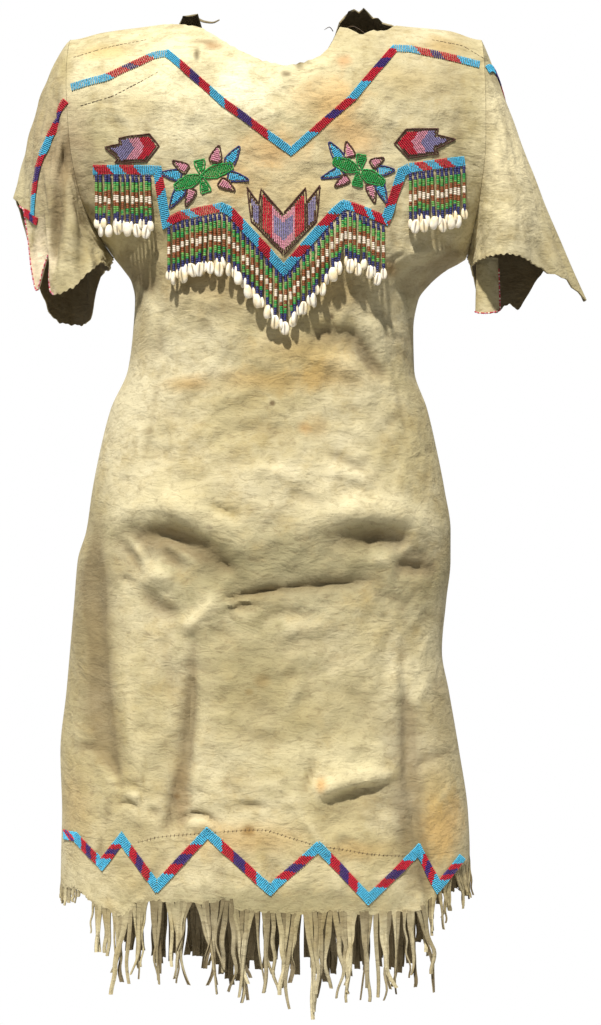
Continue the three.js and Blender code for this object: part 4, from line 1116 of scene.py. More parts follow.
def bead_colours(names, rng):
    """Linear colours of beads by name, each brightened or darkened by its own share."""
    palette = {name: linear(code) for name, code in GLASS.items()}
    colours = np.array([palette[name] for name in names])
    colours[:, :3] *= 1 + rng.normal(0, GLASS_SPREAD, (len(names), 1))
    return np.clip(colours, 0, 1)


def placed(template, centres, axes, outs, sizes):
    """Copies of a template: centre + length * axis * a + width * side * b + height * out * c."""
    shape, faces = template
    sides = np.cross(outs, axes)
    basis = np.stack([axes * sizes[:, :1], sides * sizes[:, 1:2], outs * sizes[:, 2:3]], axis=1)
    points = centres[:, None] + np.einsum("kc,ncd->nkd", shape, basis)
    step = (np.arange(len(centres)) * len(shape))[:, None, None]
    return points.reshape(-1, 3), [(f[None] + step).reshape(-1, f.shape[1]) for f in faces]


def beads(name, centres, axes, outs, names, seed, size=BEAD_SIZE, template=SEED_BEAD):
    """One mesh of beads, each a little off its place and size."""
    rng = np.random.default_rng(seed)
    count = len(centres)
    sizes = np.array(size) * rng.normal(1, 0.04, (count, 1))
    centres = centres + rng.normal(0, 0.07, (count, 3))
    axes = unit(axes + rng.normal(0, 0.05, (count, 3)))
    outs = unit(outs - np.sum(outs * axes, axis=1, keepdims=True) * axes)
    points, faces = placed(template, centres, axes, outs, sizes)
    colours = np.repeat(bead_colours(names, rng), len(template[0]), axis=0)
    return add_piece(name, points, faces, glass, attributes={"glass": colours})


# %% [markdown]
# ## Sewn seams
# The hide is sewn with dark waxed sinew. Running stitches follow the tucks taken in at the shoulders, and
# short stitches over the edge close the pieced seam above the border. A stitch is a stiff little rod, so
# it is a turned form like a bead, laid along the skin.

# %% Seam stitches
STITCH = barrel(5, [(-0.5, 0.16), (-0.3, 0.5), (0.3, 0.5), (0.5, 0.16)])
PIECED_LINE = list(zip(PIECED_SEAM["x"][1:-1], PIECED_SEAM["z"][1:-1]))
SEWN = {
    "left": ("front", [(-233, -55), (-190, -43), (-143, -34)]),
    "right": ("front", [(175, -33), (214, -40), (240, -57)]),
    "left_lower": ("front", [(-222, -115), (-180, -104), (-130, -77)]),
    "back": ("back", [(-229, -54), (-140, -36)]),
    "border": ("front", PIECED_LINE),
}
STITCH_STEP = 4.6
RUNNING_STITCH, EDGE_STITCH = (3.6, 0.9, 0.7), (3.0, 0.7, 0.6)  # length, width and height
EDGE_TURN = np.array([[0.35, 0.94], [-0.94, 0.35]])  # a stitch over the edge lies across the line


def sinew_material():
    """Waxed sinew: dark brown, a little glossy, paler where it has dried."""
    material, tree = new_material("waxed_sinew")
    place = node(tree, "ShaderNodeTexCoord").outputs["Object"]
    colour = share_of(tree, noise_at(tree, place, 300.0, 3.0, 0.6), 0.45, 0.7, 0.6, "#7c6240", "#3c2a18")
    shader = node(tree, "ShaderNodeBsdfPrincipled", {"Roughness": 0.55}, {"Base Color": colour})
    node(tree, "ShaderNodeOutputMaterial", {}, {"Surface": shader.outputs[0]})
    return material


def stitches(name, side, line, size, over, seed):
    """Short threads along a line, or across it where they go over an edge."""
    rng = np.random.default_rng(seed)
    corners = np.array(line, float)
    walked = walk(corners)
    at = np.arange(STITCH_STEP, walked[-1] - STITCH_STEP / 2, STITCH_STEP)
    at = at + rng.normal(0, STITCH_STEP / 12, len(at))
    spots = points_at(at, walked, corners)
    ahead = unit(points_at(at + 1, walked, corners) - spots)
    if over:
        ahead = unit(ahead @ EDGE_TURN)
    points, normals = body_frame(side, spots[:, 0], spots[:, 1])
    axes = unit(body_frame(side, *(spots + 0.5 * ahead).T)[0] - points + rng.normal(0, 0.03, points.shape))
    outs = unit(normals - np.sum(normals * axes, axis=1, keepdims=True) * axes)
    sizes = np.array(size) * rng.uniform(0.8, 1.15, (len(at), 1))
    points, faces = placed(STITCH, points + 0.1 * normals, axes, outs, sizes)
    return add_piece(name, points, faces, sinew)


sinew = sinew_material()
for seed, (name, (side, line)) in enumerate(SEWN.items()):
    over = name == "border"
    size = EDGE_STITCH if over else RUNNING_STITCH
    piece = stitches(f"{name}_seam_stitches", side, line, size, over, 30 + seed)
    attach(piece, "root")

# %% [markdown]
# ## Loose ends
# At the neck the stitches have let go. A narrow tongue of hide sticks out from the back on one side, and
# on the other side threads hang in the tear. Each is a tube along a smooth curve through a few points.

# %% Tongue and threads
# Name, half width, half depth and points x, y, z, all in mm.
LOOSE = [
    ("neck_tongue", 1.7, 0.9, [(-96, 30, 0), (-92, 24, 6), (-84, 18, 2), (-74, 14, 0), (-66, 12, 3)]),
    ("neck_thread_a", 0.5, 0.5, [
        (72, -6, -15), (80, -12, -24), (97, -17, -35), (112, -12, -24), (124, -8, -15),
    ]),
    ("neck_thread_b", 0.4, 0.4, [
        (78, -4, -12), (88, -8, -9), (104, -12, -20), (110, -18, -34), (107, -20, -40),
    ]),
    ("neck_thread_c", 0.5, 0.5, [(66, -4, -14), (62, -8, -10), (56, -12, -14)]),
]


def tube(points, wide, deep, rows=24, sides=8):
    """Rings on a smooth curve: centre + wide * cos(a) * side + deep * sin(a) * up, thinner at its end."""
    knots = np.array(points, float)
    numbers = np.arange(len(knots), dtype=float)
    at = np.linspace(0, len(knots) - 1, rows)
    centre = np.stack([smooth(at, numbers, column) for column in knots.T], axis=-1)
    ahead = unit(np.gradient(centre, axis=0))
    side = unit(np.cross(ahead, [0.0, -1.0, 0.3]))
    up = np.cross(side, ahead)
    turn = np.linspace(0, 2 * math.pi, sides, endpoint=False)
    thin = (1 - 0.6 * np.linspace(0, 1, rows) ** 3)[:, None, None]
    aside, above = wide * np.cos(turn)[None, :, None], deep * np.sin(turn)[None, :, None]
    rings = centre[:, None] + thin * (aside * side[:, None] + above * up[:, None])
    points = rings.reshape(-1, 3)
    return points, outward(points, ring_faces(rows, sides))


for name, wide, deep, curve in LOOSE:
    points, faces = tube(curve, wide, deep)
    if name == "neck_tongue":
        # The tongue gets the inside's painted shade all over.
        piece = add_piece(name, points, faces, hide, attributes={"inside_shade": np.full(len(points), 0.8)})
    else:
        piece = add_piece(name, points, faces, sinew)
    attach(piece, "root")

# %% [markdown]
# ## The beaded bands
# A band follows a zigzag over the hide. Its stitches are set off at equal lengths along the skin, and two
# slopes meet in a mitre at a corner. The colours change along the band by a list of runs, and the change
# slants across it, because each stitch there takes one bead more of the next colour.

# %% Bands on the front and back
NECK_LINE = [(-231, -92), (-186, -81), (-137, -57), (-122, -55), (-56, -116), (18, -171), (86, -110),
             (135, -48), (152, -48), (231, -64)]
NECK_LINE_BACK = [(-229, -88), (-140, -56), (-120, -56), (0, -150), (120, -50), (150, -50), (229, -66)]
YOKE_LINE = [(-204, -186), (-131, -190), (-121, -248), (-105, -241), (-59, -233), (-50, -237), (10, -303),
             (66, -239), (76, -230), (86, -232), (123, -246), (141, -192), (150, -187), (214, -176)]
HEM_BAND = [(-241, -938), (-225, -937), (-193, -964), (-170, -934), (-130, -984), (-74, -923), (-5, -985),
            (48, -938), (103, -997), (160, -948), (182, -990), (211, -962)]
HEM_BAND_BACK = [(-235, -942), (-200, -986), (-150, -930), (-95, -988), (-40, -930), (15, -988), (70, -930),
                 (120, -986), (168, -932), (216, -959)]
NECK_RUNS = [("sky", 47), ("red", 66), ("purple", 76), ("red", 97), ("sky", 137), ("red", 152),
             ("purple", 167), ("red", 183), ("sky", 206), ("red", 224), ("purple", 243), ("red", 266),
             ("sky", 331), ("red", 354), ("purple", 369), ("red", 388), ("sky", 415), ("red", 436),
             ("purple", 452), ("red", 468), ("sky", 494), ("red", 510), ("purple", 522), ("red", 542),
             ("sky", 700)]
YOKE_RUNS = [("sky", 2), ("red", 19), ("sky", 33), ("red", 50), ("sky", 84), ("red", 99), ("sky", 133),
             ("red", 156), ("sky", 165), ("red", 190), ("sky", 210), ("red", 228), ("sky", 254),
             ("red", 272), ("sky", 314), ("red", 331), ("sky", 360), ("red", 378), ("sky", 404),
             ("red", 420), ("sky", 428), ("red", 441), ("sky", 461), ("red", 486), ("sky", 520),
             ("red", 532), ("sky", 543), ("red", 558), ("sky", 700)]
SLOPE_SHARES = [("sky", 0.24), ("red", 0.42), ("purple", 0.6), ("red", 0.78), ("sky", 1.0)]


def slope_runs(line):
    """Runs of a zigzag: blue round each corner, and red, purple, red along each slope."""
    lengths = np.hypot(*np.diff(np.array(line, float), axis=0).T)
    starts = np.concatenate([[0], np.cumsum(lengths)[:-1]])
    slopes = zip(starts, lengths)
    return [(name, start + share * long) for start, long in slopes for name, share in SLOPE_SHARES]


def run_names(distance, runs):
    """Colour of the run that a distance along the band falls in."""
    ends = np.array([end for _, end in runs])
    index = np.clip(np.searchsorted(ends, distance), 0, len(runs) - 1)
    return np.array([name for name, _ in runs])[index]


def panel_band(name, side, line, runs, seed, across, slant=0.9):
    """Stitches along each slope of a line, cut off at a corner where (p - corner) . (heading + next) = 0."""
    corners = np.array(line, float)
    heading = unit(np.diff(corners, axis=0))
    lengths = np.linalg.norm(np.diff(corners, axis=0), axis=1)
    starts = np.concatenate([[0], np.cumsum(lengths)])
    places = (np.arange(across) - (across - 1) / 2) * BEAD_LENGTH
    spots, axes, distances = [], [], []
    for i, ahead in enumerate(heading):
        aside = np.array([-ahead[1], ahead[0]])
        fine = np.linspace(-2 * across, lengths[i] + 2 * across, 600)
        skin = body_frame(side, *(corners[i][:, None] + ahead[:, None] * fine))[0]
        walked = walk(skin)
        along = np.interp(np.arange(0, walked[-1], BEAD_ACROSS * 1.03), walked, fine)
        spot = corners[i] + along[:, None, None] * ahead + places[None, :, None] * aside
        keep = np.ones(spot.shape[:2], bool)
        before = heading[i - 1] if i else -ahead
        after = heading[i + 1] if i + 1 < len(heading) else -ahead
        keep &= (np.einsum("nkc,c->nk", spot - corners[i], before + ahead) > 0) | (i == 0)
        keep &= (np.einsum("nkc,c->nk", spot - corners[i + 1], after + ahead) < 0) | (i + 1 == len(heading))
        keep &= ((along > 0) | (i > 0))[:, None] & ((along < lengths[i]) | (i + 1 < len(heading)))[:, None]
        spots.append(spot[keep])
        axes.append(np.broadcast_to(aside, spot.shape)[keep])
        distances.append((starts[i] + along[:, None] + slant * places[None])[keep])
    spots, axes = np.concatenate(spots), np.concatenate(axes)
    points, normals = body_frame(side, spots[:, 0], spots[:, 1])
    axes = unit(body_frame(side, *(spots + 0.5 * axes).T)[0] - points)
    names = run_names(np.concatenate(distances), runs)
    return beads(name, points + BEAD_LIFT * normals, axes, normals, names, seed)


BANDS = [
    ("neck_band_beads", "neck_band_front", "front", NECK_LINE, NECK_RUNS, 6, "beads_blue"),
    ("back_neck_band_beads", "neck_band_back", "back", NECK_LINE_BACK, NECK_RUNS, 6, "beads_blue"),
    ("yoke_band_beads", "yoke_band", "front", YOKE_LINE, YOKE_RUNS, 7, "beads_blue"),
    ("hem_band_beads", "hem_band_front", "front", HEM_BAND, slope_runs(HEM_BAND), 7, "beads_red"),
    ("back_hem_band_beads", "hem_band_back", "back", HEM_BAND_BACK, slope_runs(HEM_BAND_BACK), 7,
     "beads_red"),
]
for seed, (name, solid, side, line, runs, across, slot) in enumerate(BANDS):
    piece = panel_band(name, side, line, runs, seed + 20, across)
    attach(piece, "root")
    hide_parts(solid)

# %% Bands on the sleeves
SLEEVE_BAND_BEADS = 6
SLEEVE_LINES = {
    "left": [(0.195, 0.0), (0.175, 0.34), (0.145, 0.6), (0.1, 0.8)],
    "right": [(0.13, 0.03), (-0.06, 0.35), (-0.15, 0.86)],
}
SLEEVE_RUNS = [("red", 0.11), ("purple", 0.21), ("red", 0.33), ("sky", 0.5), ("red", 0.6), ("purple", 0.73),
               ("red", 0.83), ("sky", 1.0)]
FLAP_TURNS = (0.058, 0.118)  # a short piece goes across the root of the left cuff's flap
FLAP_HEIGHTS = (-227, -241)
FLAP_RUNS = [("red", 0.4), ("purple", 0.72), ("red", 1.0)]


def share_down(cuff, turns, heights):
    """Share of the way down at which the skin at each turn reaches each height, by looking along it."""
    steps = np.linspace(0, 1, 200)
    angle, s = np.meshgrid(2 * math.pi * np.asarray(turns), steps, indexing="ij")
    low = -sleeve_at(cuff, angle, s)[..., 2]
    return [np.interp(-z, row, steps) for z, row in zip(heights, low)]


def sleeve_band(name, cuff, line, seed, shares=SLEEVE_RUNS):
    """Stitches along a line given as shares of the way round and down a sleeve."""
    corners = np.array(line)
    t = np.linspace(0, 1, 600)
    knots = np.linspace(0, 1, len(line))
    angle, s = 2 * math.pi * np.interp(t, knots, corners[:, 0]), np.interp(t, knots, corners[:, 1])
    skin = sleeve_at(cuff, angle, s)
    walked = walk(skin)
    at = np.arange(BEAD_ACROSS / 2, walked[-1], BEAD_ACROSS * 1.01)
    centre = points_at(at, walked, skin)
    normal = sleeve_normal(sleeve_at, cuff, np.interp(at, walked, angle), np.interp(at, walked, s))
    ahead = unit(np.gradient(centre, axis=0))
    aside = unit(np.cross(normal, ahead))
    places = (np.arange(SLEEVE_BAND_BEADS) - (SLEEVE_BAND_BEADS - 1) / 2) * BEAD_LENGTH
    points = centre[:, None] + aside[:, None] * places[None, :, None] + BEAD_LIFT * normal[:, None]
    spread = np.broadcast_to(aside[:, None], points.shape)
    outs = np.broadcast_to(normal[:, None], points.shape)
    runs = [(colour, share * walked[-1]) for colour, share in shares]
    names = run_names(at[:, None] + 0.5 * places[None], runs)
    points, spread, outs = (array.reshape(-1, 3) for array in (points, spread, outs))
    return beads(name, points, spread, outs, names.ravel(), seed)


for seed, (name, line) in enumerate(SLEEVE_LINES.items()):
    first = "red" if name == "left" else "sky"
    runs = [(first, 0.11), *SLEEVE_RUNS[1:]]
    piece = sleeve_band(f"{name}_sleeve_band_beads", CUFFS[name], line, seed + 40, runs)
    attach(piece, "root")
    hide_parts(f"sleeve_band_{name}")
flap_turns = np.linspace(*FLAP_TURNS, 9)
flap_line = list(zip(flap_turns, share_down(CUFFS["left"], flap_turns, np.linspace(*FLAP_HEIGHTS, 9))))
piece = sleeve_band("left_flap_band_beads", CUFFS["left"], flap_line, 44, FLAP_RUNS)
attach(piece, "root")

# %% Beads along the cut edges of the cuffs
def edge_beads(name, path, out, colours, seed):
    """One bead after another along a path, each next to the edge it is sewn to."""
    walked = walk(path)
    at = np.arange(0, walked[-1], BEAD_ACROSS * 0.95)
    spots = points_at(at, walked, path)
    axes = unit(np.gradient(spots, axis=0))
    outs = unit(points_at(at, walked, out))
    names = np.array(colours)[np.arange(len(at)) % len(colours)]
    spots = spots + 0.4 * outs
    return beads(name, spots, axes, outs, names, seed, size=(1.9, 2.0, 2.0))


cuff_angle = np.radians(np.linspace(12, 64, 160))
flap_edge = sleeve_at(CUFFS["left"], cuff_angle, np.ones(160))
flap_out = sleeve_normal(sleeve_at, CUFFS["left"], cuff_angle, np.ones(160))
tab_edge = np.concatenate([tab_outer[8:, -3], tab_outer[-1, -4::-1]]) - [0, 0.6, 0.8]
tab_out = np.concatenate([tab_normals[8:, -3], tab_normals[-1, -4::-1]])
EDGINGS = [
    ("left_cuff_edge_beads", flap_edge, flap_out, ["red", "pink", "pink", "red", "cream", "pink"]),
    ("cuff_tab_edge_beads", tab_edge, tab_out, ["red", "red", "cream", "red", "pink"]),
]
for seed, (name, path, out, colours) in enumerate(EDGINGS):
    piece = edge_beads(name, path, out, colours, seed + 45)
    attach(piece, "root")

# %% [markdown]
# ## The motifs
# The flowers are leaves and petals sewn one by one, each with its rows across it and an outline of darker
# beads. The arrows are filled with upright or slanting rows, and their colours change by the distance from
# the middle line.

# %% Shapes filled with beads
BEAD_PITCH = BEAD_LENGTH * 1.02  # beads of one thread almost touch
SHAPE_REACH = 60  # more than half the size of the largest shape


def inside(points, outline):
    """True where a point lies inside a closed outline: an odd number of its edges is crossed."""
    odd = np.zeros(len(points), bool)
    for (x0, z0), (x1, z1) in zip(outline, np.roll(outline, -1, axis=0)):
        crossed = (z0 > points[:, 1]) != (z1 > points[:, 1])
        level = np.where(z1 == z0, 1e-9, z1 - z0)
        odd ^= crossed & (points[:, 0] < x0 + (points[:, 1] - z0) * (x1 - x0) / level)
    return odd


def edge_distance(points, outline):
    """Shortest distance from each point to the outline."""
    ends = np.roll(outline, -1, axis=0)
    along = ends - outline
    t = np.einsum("nkd,kd->nk", points[:, None] - outline[None], along) / np.sum(along**2, axis=1)
    foot = outline[None] + np.clip(t, 0, 1)[..., None] * along[None]
    return np.linalg.norm(points[:, None] - foot, axis=2).min(axis=1)


def filled(outline, heading, paint, rim, border=0.0):
    """Bead places, directions and colours of one shape: an outline, then rows, dark up to the border."""
    closed = np.concatenate([outline, outline[:1]])
    walked = walk(closed)
    at = np.arange(0, walked[-1], BEAD_PITCH)
    round_it = points_at(at, walked, closed)
    along = unit(points_at(at + 1, walked, closed) - round_it + 1e-9)
    ahead = np.array([math.cos(heading), math.sin(heading)])
    aside = np.array([-ahead[1], ahead[0]])
    steps = (np.arange(-SHAPE_REACH, SHAPE_REACH, step) for step in (BEAD_ACROSS, BEAD_PITCH))
    rows, places = np.meshgrid(*steps)
    middle = outline.mean(axis=0)
    field = middle + rows.reshape(-1, 1) * aside + places.reshape(-1, 1) * ahead
    field = field[inside(field, outline)]
    field = field[edge_distance(field, outline) > BEAD_ACROSS * 0.78]
    spots = np.concatenate([round_it, field])
    headings = np.concatenate([along, np.broadcast_to(ahead, field.shape)])
    near = edge_distance(field, outline) < border
    names = [rim] * len(round_it) + list(np.where(near, rim, paint(field)))
    return spots, headings, names


def motif_beads(name, shapes, seed):
    """Beads of several shapes on the front, without those that would sit on an earlier one."""
    spots, headings, names = (sum(([part[i]] for part in shapes), []) for i in range(3))
    spots, headings = np.concatenate(spots), np.concatenate(headings)
    names = np.array(sum(map(list, names), []))
    gaps = np.linalg.norm(spots[:, None] - spots[None], axis=2)
    earlier = np.tril(gaps < BEAD_LENGTH * 0.8, -1).any(axis=1)
    spots, headings, names = spots[~earlier], headings[~earlier], names[~earlier]
    points, normals = body_frame("front", spots[:, 0], spots[:, 1])
    ahead = body_frame("front", *(spots + 0.5 * headings).T)[0] - points
    return beads(name, points + BEAD_LIFT * normals, unit(ahead), normals, names, seed)


# %% Flowers
# Half widths of the three outlines: share of the way from foot to tip, share of the half width.
PETAL = np.array([[0, 0.72], [0.16, 1], [0.5, 0.78], [0.85, 0.34], [0.98, 0.14]])
LEAF = np.array([[0, 0.12], [0.2, 0.62], [0.45, 1], [0.8, 0.72], [1, 0.44]])
WEDGE = np.array([[0, 0.15], [0.35, 0.6], [0.8, 1], [1, 0.92]])
# Outline and colour of each leaf or petal, the middle of its foot, its tip and its width, in mm.
FLOWERS = {
    "left": [
        (LEAF, "green", -82, -198, -47, -187, 15), (LEAF, "green", -81, -198, -111, -210, 15),
        (WEDGE, "green", -81, -197, -84, -180, 12), (WEDGE, "green", -81, -199, -76, -216, 12),
        (PETAL, "pink", -67, -183, -62, -164, 14), (PETAL, "sky", -52, -185, -39, -165, 13),
        (PETAL, "pink", -97, -191, -114, -180, 12), (PETAL, "sky", -104, -197, -127, -193, 13),
        (PETAL, "sky", -103, -211, -117, -232, 13), (PETAL, "pink", -91, -212, -99, -231, 11),
        (PETAL, "pink", -61, -204, -44, -215, 12), (PETAL, "sky", -52, -198, -29, -203, 12),
    ],
    "right": [
        (LEAF, "green", 94, -192, 65, -181, 15), (LEAF, "green", 93, -192, 121, -205, 15),
        (WEDGE, "green", 94, -191, 96, -174, 11), (WEDGE, "green", 93, -193, 91, -209, 11),
        (PETAL, "sky", 73, -180, 60, -160, 13), (PETAL, "pink", 84, -177, 79, -159, 12),
        (PETAL, "pink", 107, -185, 121, -177, 11), (PETAL, "sky", 114, -192, 133, -190, 12),
        (PETAL, "sky", 115, -205, 124, -227, 11), (PETAL, "pink", 105, -206, 111, -227, 11),
        (PETAL, "pink", 81, -200, 66, -210, 11), (PETAL, "sky", 75, -192, 51, -201, 11),
    ],
}
RIMS = {"green": "green", "pink": "brown", "sky": "navy"}


def petal(side, x0, z0, x1, z1, width):
    """Outline of a petal from its foot to its tip, with half widths from a profile."""
    profile = np.concatenate([side, side[::-1] * [1, -1]])
    ahead = np.array([x1 - x0, z1 - z0])
    aside = np.array([-ahead[1], ahead[0]]) / np.linalg.norm(ahead)
    return np.array([x0, z0]) + profile[:, :1] * ahead + profile[:, 1:] * width / 2 * aside


def plain(name):
    """Paint that gives every bead the same colour."""
    return lambda field: [name] * len(field)


for seed, (side, parts) in enumerate(FLOWERS.items()):
    shapes = [
        filled(petal(outline, *place), math.atan2(place[3] - place[1], place[2] - place[0]) + math.pi / 2,
               plain(colour), RIMS[colour])
        for outline, colour, *place in parts
    ]
    piece = motif_beads(f"{side}_flower_beads", shapes, seed + 50)
    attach(piece, "root")
    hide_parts(f"flower_{side}")

# %% Arrows
ARROWS = {
    "center": [(-31, -211), (-18, -229), (-15, -213), (9, -241), (34, -212), (35, -228), (50, -209),
               (46, -249), (10, -286), (-26, -249)],
    "left": [(-129, -163), (-140, -149), (-175, -153), (-173, -159), (-191, -162), (-176, -175),
             (-179, -180), (-143, -180)],
    "right": [(133, -160), (146, -144), (182, -142), (181, -149), (202, -153), (179, -165), (183, -170),
              (148, -176)],
}


def center_paint(field):
    """Pink down the middle with a lavender block below its V, then red, brown and lavender outwards."""
    off = np.abs(field[:, 0] - 9.7)
    outer = np.where(off < 26.6, "brown", "lavender")
    names = np.where(off < 12.5, "pink", np.where(off < 23.3, "red", outer))
    level = field[:, 1] - 0.9 * off
    return np.where((off < 10) & (level < -251) & (level > -271), "lavender", names)


def side_paint(tip, first, second):
    """Red from the tip, then pink, then lavender, with the changes slanting back from the middle line."""
    def paint(field):
        away = np.abs(field[:, 0] - tip[0]) - 0.7 * np.abs(field[:, 1] - tip[1])
        return np.where(away < first, "red", np.where(away < second, "pink", "lavender"))
    return paint


PAINTS = {
    "center": center_paint,
    "left": side_paint((-129, -164), 16, 28),
    "right": side_paint((133, -159), 18, 29),
}
ROWS = {"center": math.pi / 2, "left": 0.9, "right": math.pi - 0.9}
for seed, (side, outline) in enumerate(ARROWS.items()):
    shape = filled(np.array(outline, float), ROWS[side], PAINTS[side], "brown", 3.0)
    piece = motif_beads(f"{side}_arrow_beads", [shape], seed + 60)
    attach(piece, "root")
    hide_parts(f"arrow_{side}")

# %% [markdown]
# ## The bead fringes
# Strands of larger beads hang from under the yoke band, straight down whatever the band does, and each
# ends in a cowrie shell. Neighbours hang at two distances from the hide, so that the shells, which are
# wider than the strands, lie over one another. Every strand has the same colours in the same order.

# %% Strands
STRAND_ACROSS = 3.8
STRAND_STEP = 2.1
STRAND_LENGTH = 51.0
ROOT_DROP = 6.9  # the strands' roots below the middle of the band
STRAND_LIFTS = (4.0, 9.5)
STRAND_RUNS = [("navy", 7), ("leaf", 16.5), ("copper", 22.5), ("cream", 29.5), ("copper", 35.5),
               ("leaf", 42.5), ("navy", 60)]
FRINGES = {
    "left": (-201, -139, 13, YOKE_LINE[:2]),
    "center": (-118, 120, 47, YOKE_LINE[2:11]),
    "right": (151, 212, 13, YOKE_LINE[11:]),
}
SHELL = dict(length=15.8, width=10.2, depth=7.4)
TUCKED = (0.78, 5.0)  # size and lift of the shells that hang behind their neighbours


def strand_paths(start, end, count, line, rng):
    """Centre points of all strands' beads: down from the band, clear of the hide, with a slight sway."""
    x = np.linspace(start, end, count) + rng.normal(0, 0.45, count)
    corners = np.array(line, float)
    root_z = np.interp(x, corners[:, 0], corners[:, 1]) - ROOT_DROP
    slope = np.gradient(root_z, x)
    root_z = root_z - 2.2 * np.clip(np.abs(slope), 0, 1.6)
    length = STRAND_LENGTH + rng.normal(0, 1.7, count)
    down = np.arange(0, STRAND_LENGTH + 4, STRAND_STEP)
    z = root_z[:, None] - down[None] * (length / STRAND_LENGTH)[:, None]
    sway = rng.normal(0, 0.9, count)[:, None] * (down / STRAND_LENGTH)[None] ** 2
    bend = rng.normal(0, 0.5, count)[:, None] * np.sin(down / STRAND_LENGTH * 3 + 1)[None]
    across = x[:, None] + sway + bend
    lifts = np.where(np.arange(count) % 2, *STRAND_LIFTS[::-1]) + rng.normal(0, 0.5, count)
    skin = body_frame("front", across, z)[0][..., 1]
    root = body_frame("front", x, root_z)[0][:, 1] - 3.0
    share = np.clip(down / STRAND_LENGTH, 0, 1)[None]
    out = np.minimum(root, skin[:, -1] - lifts) - root
    hang = root[:, None] + out[:, None] * np.sin(share * math.pi / 2)
    y = np.minimum(hang, skin - 2.2)
    return np.stack([across, y, z], axis=-1), down, root_z, length


def cowrie():
    """Shell as a grid of turn and way down: an egg, flat below, with a slit along its flat side."""
    half = np.array([0.0, 0.13, 0.34, 0.62, 1.0, 1.5, 2.1, 2.65])
    turn = np.concatenate([half, [math.pi], -half[:0:-1]])
    way = np.radians([14, 34, 58, 84, 108, 132, 154, 170])
    w, t = np.meshgrid(way, turn, indexing="ij")
    ring = np.sin(w) ** 0.8 * (1 + 0.13 * np.cos(w))
    flat = np.where(np.cos(t) > 0, 0.66, 1.0)
    groove = 0.34 * np.exp(-((t / 0.2) ** 2)) * np.sin(w) ** 0.5
    aside = 0.5 * ring * np.sin(t)
    out = 0.5 * ring * np.cos(t) * flat * (1 - groove)
    points = np.stack([0.5 * np.cos(w), aside, out], axis=-1).reshape(-1, 3)
    faces = outward(points, ring_faces(*w.shape))
    tone = np.clip(np.exp(-((t / 0.16) ** 2)) * np.sin(w) ** 0.4, 0, 1).ravel()
    return (points, faces), tone


COWRIE, COWRIE_SLIT = cowrie()


def shell_material():
    """Cowrie: a glazed ivory dome, yellower in patches, with a dark toothed slit between its lips."""
    material, tree = new_material("cowrie_shell")
    place = node(tree, "ShaderNodeTexCoord").outputs["Object"]
    slit = node(tree, "ShaderNodeAttribute", attribute_name="slit", attribute_type="GEOMETRY")
    tint = node(tree, "ShaderNodeTexNoise", {"Scale": 95.0, "Detail": 2.0}, {"Vector": place})
    share = node(tree, "ShaderNodeMapRange", {1: 0.4, 2: 0.65, 3: 0.0, 4: 0.75}, {0: tint.outputs[0]})
    ivory = node(
        tree, "ShaderNodeMix", {6: linear("#f6efdf"), 7: linear("#dfc892")}, {0: share.outputs[0]},
        data_type="RGBA",
    )
    # The slit is painted dark, as the shade inside the shell's opening, with paler teeth across it.
    teeth = node(
        tree, "ShaderNodeTexWave", {"Scale": 240.0, "Distortion": 0.0}, {"Vector": place},
        wave_type="BANDS", bands_direction="Z",
    )
    gap = node(tree, "ShaderNodeMapRange", {1: 0.0, 2: 1.0, 3: 0.75, 4: 1.0}, {0: teeth.outputs[1]})
    factors = {0: slit.outputs["Fac"], 1: gap.outputs[0]}
    dark = node(tree, "ShaderNodeMath", {}, factors, operation="MULTIPLY")
    mix = node(
        tree, "ShaderNodeMix", {7: linear("#33241a")}, {0: dark.outputs[0], 6: ivory.outputs[2]},
        data_type="RGBA",
    )
    shader = node(
        tree, "ShaderNodeBsdfPrincipled",
        {"Roughness": 0.32, "IOR": 1.5, "Coat Weight": 0.3, "Coat Roughness": 0.15},
        {"Base Color": mix.outputs[2]},
    )
    node(tree, "ShaderNodeOutputMaterial", {}, {"Surface": shader.outputs[0]})
    return material


